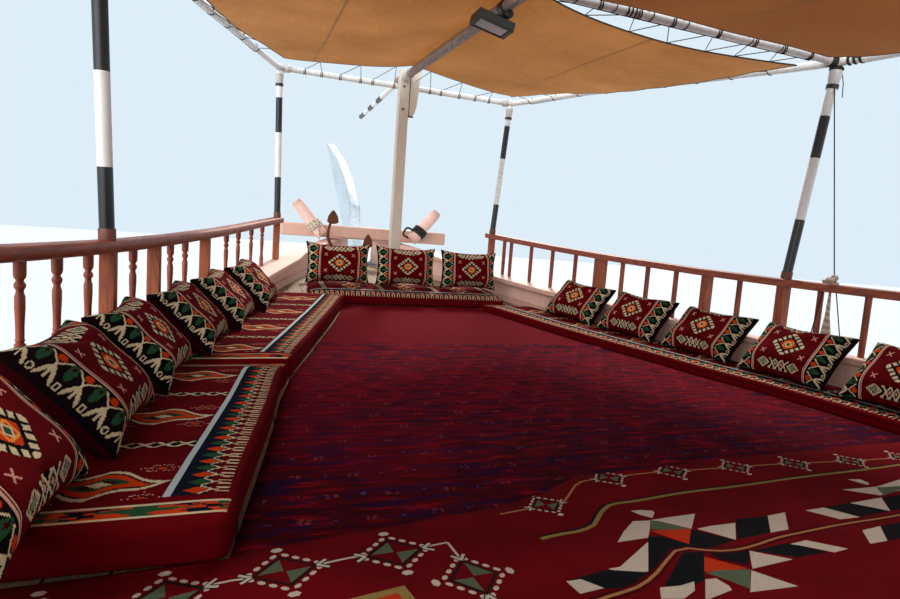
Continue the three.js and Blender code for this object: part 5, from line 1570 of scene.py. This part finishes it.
def area_of(points):
    d1, d2 = points[1:, 1:] - points[:-1, :-1], points[1:, :-1] - points[:-1, 1:]
    return float(np.linalg.norm(np.cross(d1, d2), axis=2).sum() / 2)


def longest(points, axis):
    """The length of the grid's longest line along an axis."""
    return float(np.linalg.norm(np.diff(points, axis=axis), axis=2).sum(axis).max())


def pipe_2_y(x):
    return 2.712 + (x + 2.028) * 0.03037


ridge_over = lambda y: spar_z(y) + 0.045 + 0.006
straight = lambda y: (lambda u: y + 0 * u)
fore_edge = lambda u: 5.5 + 0.2 * np.abs(u)**3 + 0.04 * u
scallop = lambda u: 3.07 + 0.15 * np.sin(np.pi * np.abs(u)**0.7) - 0.08 * np.abs(u)
AWNINGS = {
    "awning_fore": ([(y, wide, high, ridge_over(y)) for y, wide, high in (
        (5.76, 1.135, 3.476), (5.3, 1.33, 3.44), (4.5, 1.59, 3.33), (3.7, 1.79, 3.27), (3.08, 1.89, 3.235),
        (2.95, 1.93, 3.228))], 0.045, scallop, fore_edge),
    "awning_middle": ([(2.80, 1.96, 3.248, 3.254), (2.66, 1.95, 3.205, 3.21), (1.9, 2.08, 3.11, 3.11),
                       (1.1, 2.19, 3.08, 3.08), (0.3, 2.28, 3.11, 3.11), (-0.38, 2.33, 3.23, 3.23),
                       (-0.436, 2.36, 3.2586, 3.2586)],
                      0.0, straight(-0.436), lambda u: pipe_2_y(u * 1.95) - 0.05),
    "awning_aft": ([(-0.444, 2.36, 3.2586, 3.2586), (-0.5, 2.33, 3.24, 3.24), (-1.3, 2.24, 3.2, 3.23),
                    (-2.1, 2.0, 3.32, 3.36), (-2.8, 1.66, 3.49, 3.53), (-3.105, 1.41, 3.668, 3.668),
                    (-3.2, 1.38, 3.6652, 3.6652)],
                   0.0, straight(-3.2), straight(-0.444)),
}
canvas_points = {}
for name, (rows, dip, aft, fore) in AWNINGS.items():
    made, points = awning(name, rows, dip, aft, fore)
    canvas_points[name] = points
    flat_area, wide, long = area_of(points), longest(points, 1), longest(points, 0)
    held_by = ["ridge_spar_pole"] if name == "awning_fore" else ["awning_pipe_port", "awning_pipe_starboard"]
    print(name, "flat", round(wide, 2), "by", round(long, 2), "m, area", round(flat_area, 2))

# %% [markdown]
# ## Lacing, lashings and fittings
# Canvas is held to a pipe by thin line: from an eyelet in the hem round the pipe and on
# to the next.  All of it is taut, so every cord is either a straight run or a helix
# round a bar, and the same two recipes make the lashings on the posts and the bitts.

# %% Lines
LINE_RADIUS, HEM_RADIUS, ROUND_PIPE = 0.0028, 0.0045, 0.029


def wound(foot, top, radius, turns, thick=0.0035, start=0.0):
    """A line wound round the bar from foot to top, a helix of the given radius."""
    foot, top = np.asarray(foot, float), np.asarray(top, float)
    way = (top - foot) / np.linalg.norm(top - foot)
    side = np.cross(way, (0.31, 0.2, 0.93) if abs(way[2]) < 0.8 else (1, 0, 0))
    side /= np.linalg.norm(side)
    share = np.linspace(0, 1, int(turns * 14) + 1)[:, None]
    spin = start + share * turns * 2 * np.pi
    path = foot + (top - foot) * share + radius * (np.cos(spin) * side + np.sin(spin) * np.cross(way, side))
    return tube(path, thick, 6, up=way)


def strung(*points, thick=LINE_RADIUS):
    return tube(np.array(points, float), thick, 6)


def along(line, where, axis=1):
    """The points of a line at the given places along one axis."""
    line = line[np.argsort(line[:, axis])]
    return np.stack([np.interp(where, line[:, axis], line[:, k]) for k in range(3)], -1)


def laced(edge, pipe, places, axis=1):
    """At each place a turn of line from the hem under the pipe and round it, and one strand along its outer side."""
    def frame_at(where):
        core = along(pipe, where, axis)
        way = along(pipe, where - 0.03, axis) - core
        way /= np.linalg.norm(way, axis=1, keepdims=True)
        out = core - along(edge, where, axis)
        out -= way * (out * way).sum(1, keepdims=True)
        out /= np.linalg.norm(out, axis=1, keepdims=True)
        over = np.cross(way, out)
        return core, way, out, over * np.sign(over[:, 2:])

    places = np.asarray(places, float)
    core, way, out, over = (a[:, None] for a in frame_at(places))
    a = np.linspace(-np.pi, 0.95 * np.pi, 14)[None, :, None]
    ring = core + 0.0292 * (np.cos(a) * out + np.sin(a) * over) + way * a * 0.006
    eyes = along(edge, places, axis)
    made = [tube(np.concatenate([[eye], turn]), LINE_RADIUS, 6, up=w[0]) for eye, turn, w in zip(eyes, ring, way)]
    core, way, out, over = frame_at(np.linspace(places.min(), places.max(), 70))
    return made + [tube(core + 0.0287 * (0.55 * out - 0.83 * over), LINE_RADIUS, 6)]


lines, hems = [], []
for name, points in canvas_points.items():
    for column, word in ((0, "port"), (-1, "starboard")):
        edge = points[:, column]
        places = 5.68 - LACED * np.arange(40)
        places = places[(places > edge[:, 1].min() + 0.02) & (places < edge[:, 1].max() - 0.02)]
        lines += laced(edge, side_runs[word], places)
    hems += [tube(edge, HEM_RADIUS, 6) for edge in (points[:, 0], points[:, -1])]
    hems += [tube(edge, HEM_RADIUS, 6, up=(0, 1, 0.1)) for edge in (points[0], points[-1])]
pipes = [np.linspace(a, b, 60) for a, b, _ in CROSS_PIPES]
# the after edge of the foremost sheet is drawn to the second cross pipe by a zigzag
eye_x = np.array([0.221, 0.434, 0.752, 1.019, 1.279, 1.478, 1.722])
turn_x = np.array([0.287, 0.535, 0.767, 1.092, 1.374, 1.608, 1.83])
for s in (-1, 1):
    eyes = along(canvas_points["awning_fore"][0], s * eye_x, 0)
    held = along(pipes[1], s * turn_x, 0)
    front = held + [0, 0.026, 0]
    lines += [strung(a, b) for a, b in zip(eyes, front)] + [strung(a, b) for a, b in zip(eyes[1:], front)]
    lines += [wound(p - [0.012, 0, 0], p + [0.012, 0, 0], ROUND_PIPE, 1.6) for p in held]
    # and its fore edge to the first one by a few bights
    eyes = along(canvas_points["awning_fore"][-1], s * np.array([0.17, 0.5, 0.86]), 0)
    for eye, reach in zip(eyes, ((0.08, 0.3), (0.42, 0.62), (0.8, 0.96))):
        for x in reach:
            p = along(pipes[0], np.array([s * x]), 0)[0]
            lines += [strung(eye, p + [0, -0.02, 0.018]), wound(p - [0.01, 0, 0], p + [0.01, 0, 0], ROUND_PIPE, 1.4)]
middle = canvas_points["awning_middle"][-1]
lines += laced(middle, pipes[1], np.arange(-1.8, 1.81, 0.24), axis=0)
for x in (0.455, 0.48, 0.505, -0.9, -0.93):
    p = along(pipes[1], np.array([x]), 0)[0]
    lines.append(wound(p - [0.003, 0, 0], p + [0.003, 0, 0], ROUND_PIPE, 1.5, 0.003))
piece("awning_lacing", lines, DARK_ROPE)
piece("awning_hem_rope", hems, DARK_ROPE)
print("cords", len(lines))

# %% Fittings and lashings
white, black, tied = [], [], []
BALL = [(0.004, 0), (0.024, 0.1), (0.035, 0.35), (0.037, 0.5), (0.035, 0.65), (0.024, 0.9), (0.004, 1)]
for name, (foot, top, _) in POSTS.items():
    joint, base = np.array(top), np.array([*foot, float(cap_top(foot[1]))])
    down = (base - joint) / np.linalg.norm(base - joint)
    s = np.sign(joint[0])
    inward = np.array([-s, 0, 0.0])
    white += [turning(profile, joint + way * a, joint + way * b, 20) for profile, way, a, b in (
        (BALL, down, 0.04, -0.04), ([(0.0315, 0), (0.036, 0.1), (0.036, 0.9), (0.0315, 1)], inward, 0.05, 0.095),
        ([(0.0375, 0), (0.0385, 0.3), (0.032, 1)], down, 0.055, 0.135))]
    black.append(tube(np.linspace(joint + down * 0.142, joint + down * 0.168, 3), 0.0365, 20, UP_X))
    if name[-1] != "1":
        aft = np.array([s * 0.16, -0.987, -0.02])
        tied.append(wound(joint + down * 0.034, joint + down * 0.05, 0.038, 2.5, 0.005))
        tied.append(wound(joint + inward * 0.035, joint + inward * 0.09, 0.034, 5, 0.006))
        tied += [wound(joint + aft * d, joint + aft * (d + 0.006), 0.031, 1.3, 0.0055) for d in (0.07, 0.105, 0.14)]
        tied.append(strung(*(joint + [s * out, 0, -low] for out, low in ((0.045, 0.06), (0.066, 0.12), (0.074, 0.21)))))
piece("post_fittings", white, PIPE_PAINT, crease=45)
piece("post_clamps", black, LAMP_BLACK, crease=45)
# the taut line beside the second starboard post, hitched on the handrail
top, low = np.array([2.06, 2.822, 3.1]), np.array([2.06, 2.64, float(cap_top(2.64)) + 0.004])
sill = float(gunwale_z(2.64)) + 0.03
tied.append(strung(top, low, thick=0.0035))
tied += [strung((2.03 + d, 2.64 + e, low[2] - 0.05), (2.03 + d * 2.2, 2.63 + e * 3, sill), thick=0.0035)
         for d, e in ((-0.03, 0.02), (0.03, -0.02))]
# the bitts: each has a coil round it and a tail that hangs from the coil
for s, turns, thick in ((-1, 5, 0.011), (1, 4, 0.013)):
    head, down = bitt_axis(s)
    coil = wound(head + down * 0.3, head + down * 0.4, 0.0705 + thick, turns, thick)
    if s > 0:
        tail = [head + down * 0.36 + [-0.09, -0.03, 0.03], (0.47, 7.2, 2.05), (0.43, 7.2, 1.97), (0.5, 7.22, 1.93)]
        tied += [coil, tube(smooth_path(tail, 14), 0.013, 8)]
    else:
        tail = [head + down * 0.38 + [0.02, -0.08, 0], (-0.62, 7.22, 1.95), (-0.6, 7.21, 1.8)]
        hemp = [coil, wound(head + down * 0.33, head + down * 0.39, 0.088, 2.5, 0.01, 1.0),
                tube(smooth_path(tail, 12), 0.01, 8)]
piece("dark_lashings", tied, DARK_ROPE)
hemp += [strung((2.035 + 0.004 * q, 2.64 + 0.006 * q, low[2] - 0.055),
                (2.03 + 0.012 * q, 2.635 + 0.02 * q, (low[2] + sill) / 2),
                (2.02 + 0.01 * q, 2.62 + 0.05 * q, sill), thick=0.0055) for q in np.linspace(-1, 1, 7)]
hemp += [wound((2.035, 2.61, low[2] + 0.012), (2.035, 2.68, low[2] + 0.012), 0.02, 3.5, 0.0085),
         wound((2.035, 2.63, low[2] + 0.035), (2.075, 2.65, low[2] + 0.035), 0.014, 2.5, 0.007)]
piece("hemp_lashings", hemp, GREY_ROPE)
# the lamp's pane, rim, cooling ribs and clamp knob, in the lamp's own tilted frame
tilt = Matrix.Translation((-0.075, 3.39, spar_z(3.39) - 0.1061)) @ Matrix.Rotation(math.radians(12), 4, "Y")
pane = [moved(block((-0.09, -0.058, -0.0275), (0.09, 0.058, -0.0245)), tilt)]
rim = [moved(block((x0, y0, -0.033), (x1, y1, -0.0245)), tilt) for x0, y0, x1, y1 in (
    (-0.12, -0.075, 0.12, -0.062), (-0.12, 0.062, 0.12, 0.075), (-0.12, -0.062, -0.095, 0.062),
    (0.095, -0.062, 0.12, 0.062))]
rim += [moved(block((x, -0.07, 0.0245), (x + 0.004, 0.07, 0.034)), tilt) for x in np.arange(-0.11, -0.02, 0.014)]
rim.append(turning([(0.012, 0), (0.026, 0.1), (0.027, 0.8), (0.02, 1)], (0.0, 3.338, 3.3), (0.0, 3.305, 3.3), 20))
piece("lamp_pane", pane, LAMP_GLASS)
piece("lamp_rim_and_ribs", rim, LAMP_BLACK, bevel=0.0015)
print("fittings", len(white), len(black), len(tied), len(hemp))

# %% [markdown]
# ## Wheelhouse, steering and power
# Aft stands a small planked wheelhouse with a door on lift-off hinges and a wheel
# inside; the rudder hangs on the sternpost, the propeller turns in its aperture and
# the engine lies under the hatch.  They are dressed CAD pieces with trim laid on.

# %% Wheelhouse and machinery
dressed("wheelhouse", "wheelhouse_planking", CREAM, bevel=0.004)
dressed("wheelhouse_roof", "wheelhouse_roof_boards", CREAM, bevel=0.02)
dressed("wheelhouse_door", "wheelhouse_door_leaf", VARNISH_UP, body="door", bevel=0.002)
dressed("helm_wheel", "helm_wheel_wood", VARNISH_UP, body="helm", bevel=0.002)
dressed("rudder", "rudder_timber", HULL_WOOD, body="rudder", bevel=0.012)
dressed("propeller", "propeller_casting", BRONZE, body="propeller", bevel=0.0)
dressed("engine", "engine_block", ENGINE_PAINT, bevel=0.03)
dressed("engine_hatch", "engine_hatch_boards", DECK_WOOD, body="hatch_lid", bevel=0.006)

# openings in the walls: the axis across the wall, its outer face, and the span along it
house_low = max(float(deck_z(-6.3)), float(deck_z(-3.35))) + 0.002
SILL, HEAD = house_low + 0.95, house_low + 1.72
OPENINGS = [("Y", -3.35, a, b) for a, b in ((-1.13, -0.44), (-0.37, 0.37), (0.44, 1.13))]
OPENINGS += [("Y", -6.3, -0.9, -0.15), ("Y", -6.3, 0.15, 0.9), ("X", -1.25, -4.25, -3.5), ("X", -1.25, -6.15, -5.3)]
OPENINGS += [("X", 1.25, -4.3, -3.5), ("X", 1.25, -5.25, -4.45), ("X", 1.25, -6.15, -5.4)]
frames = []
for across, face, a, b in OPENINGS:
    s = np.sign(face + (4.8 if across == "Y" else 0))
    deep = sorted((face - s * 0.054, face + s * 0.012))
    middle = (a + b) / 2
    bottom, top = SILL - 0.014, HEAD + 0.014
    bars = [(a - 0.014, a + 0.032, bottom, top), (b - 0.032, b + 0.014, bottom, top),
            (a + 0.032, b - 0.032, HEAD - 0.032, top), (a + 0.032, b - 0.032, bottom, SILL + 0.032),
            (middle - 0.013, middle + 0.013, SILL + 0.032, HEAD - 0.032)]
    for u0, u1, z0, z1 in bars:
        ends = ((u0, deep[0], z0), (u1, deep[1], z1))
        frames.append(block(*(ends if across == "Y" else ((y, x, z) for x, y, z in ends))))
piece("wheelhouse_window_frames", frames, VARNISH_UP, bevel=0.003)
print("window frames", len(OPENINGS))

# %% [markdown]
# ## The set
# A pale floor lies at the waterline with the hull's own outline cut out of it, and a
# pale sky gives an even light.  One lamp stands for a veiled sun ahead, and a broad one
# for the glow from astern.

# %% Floor and light
water = np.linspace(-7.85, 7.0, 120)
rows = hull_rows(water)
shore = np.array([[np.interp(0.0, r[:, 2], r[:, k]) for k in (0, 1)] if r[0, 2] < 0 else [0.06, r[0, 1]]
                  for r in rows])
loop = np.concatenate([shore, (shore * [-1, 1])[::-1]])
loop = loop[np.r_[True, np.linalg.norm(np.diff(loop, axis=0), axis=1) > 1e-4]]
angle = np.arctan2(loop[:, 0], loop[:, 1] * 0.25)
far = np.stack([np.sin(angle), np.cos(angle)], 1) * 90
floor_points = np.concatenate([np.stack([loop, far]), np.zeros((2, len(loop), 1))], 2)
floor_paint, shader, _, _ = new_material("floor_paper")
shader.inputs["Base Color"].default_value = ink(186, 190, 194)
shader.inputs["Roughness"].default_value = 0.9
shape = skin(floor_points, closed=True)
mesh = bpy.data.meshes.new("floor")
mesh.from_pydata(shape[0].tolist(), [], shape[1].reshape(-1, 4).tolist())
mesh.materials.append(floor_paint)
placed("floor", mesh)

world = bpy.data.worlds.new("pale sky")
world.use_nodes = True
colour, strength = world.node_tree.nodes["Background"].inputs[:2]
colour.default_value, strength.default_value = (0.77, 0.90, 1.0, 1), 0.95
bpy.context.scene.world = world
for name, strength, wide, tint, towards in (("veiled sun", 3.4, 10, (1.0, 0.94, 0.85), (0.274, 0.678, 0.682)),
                                            ("glow from astern", 3.6, 70, (1.0, 0.97, 0.93), (-0.56, -0.78, 0.27))):
    lamp = bpy.data.lights.new(name, "SUN")
    lamp.energy, lamp.angle, lamp.color = strength, math.radians(wide), tint
    placed(name, lamp).rotation_euler = Vector(towards).to_track_quat("Z", "Y").to_euler()
bpy.context.scene.view_settings.view_transform = "Standard"
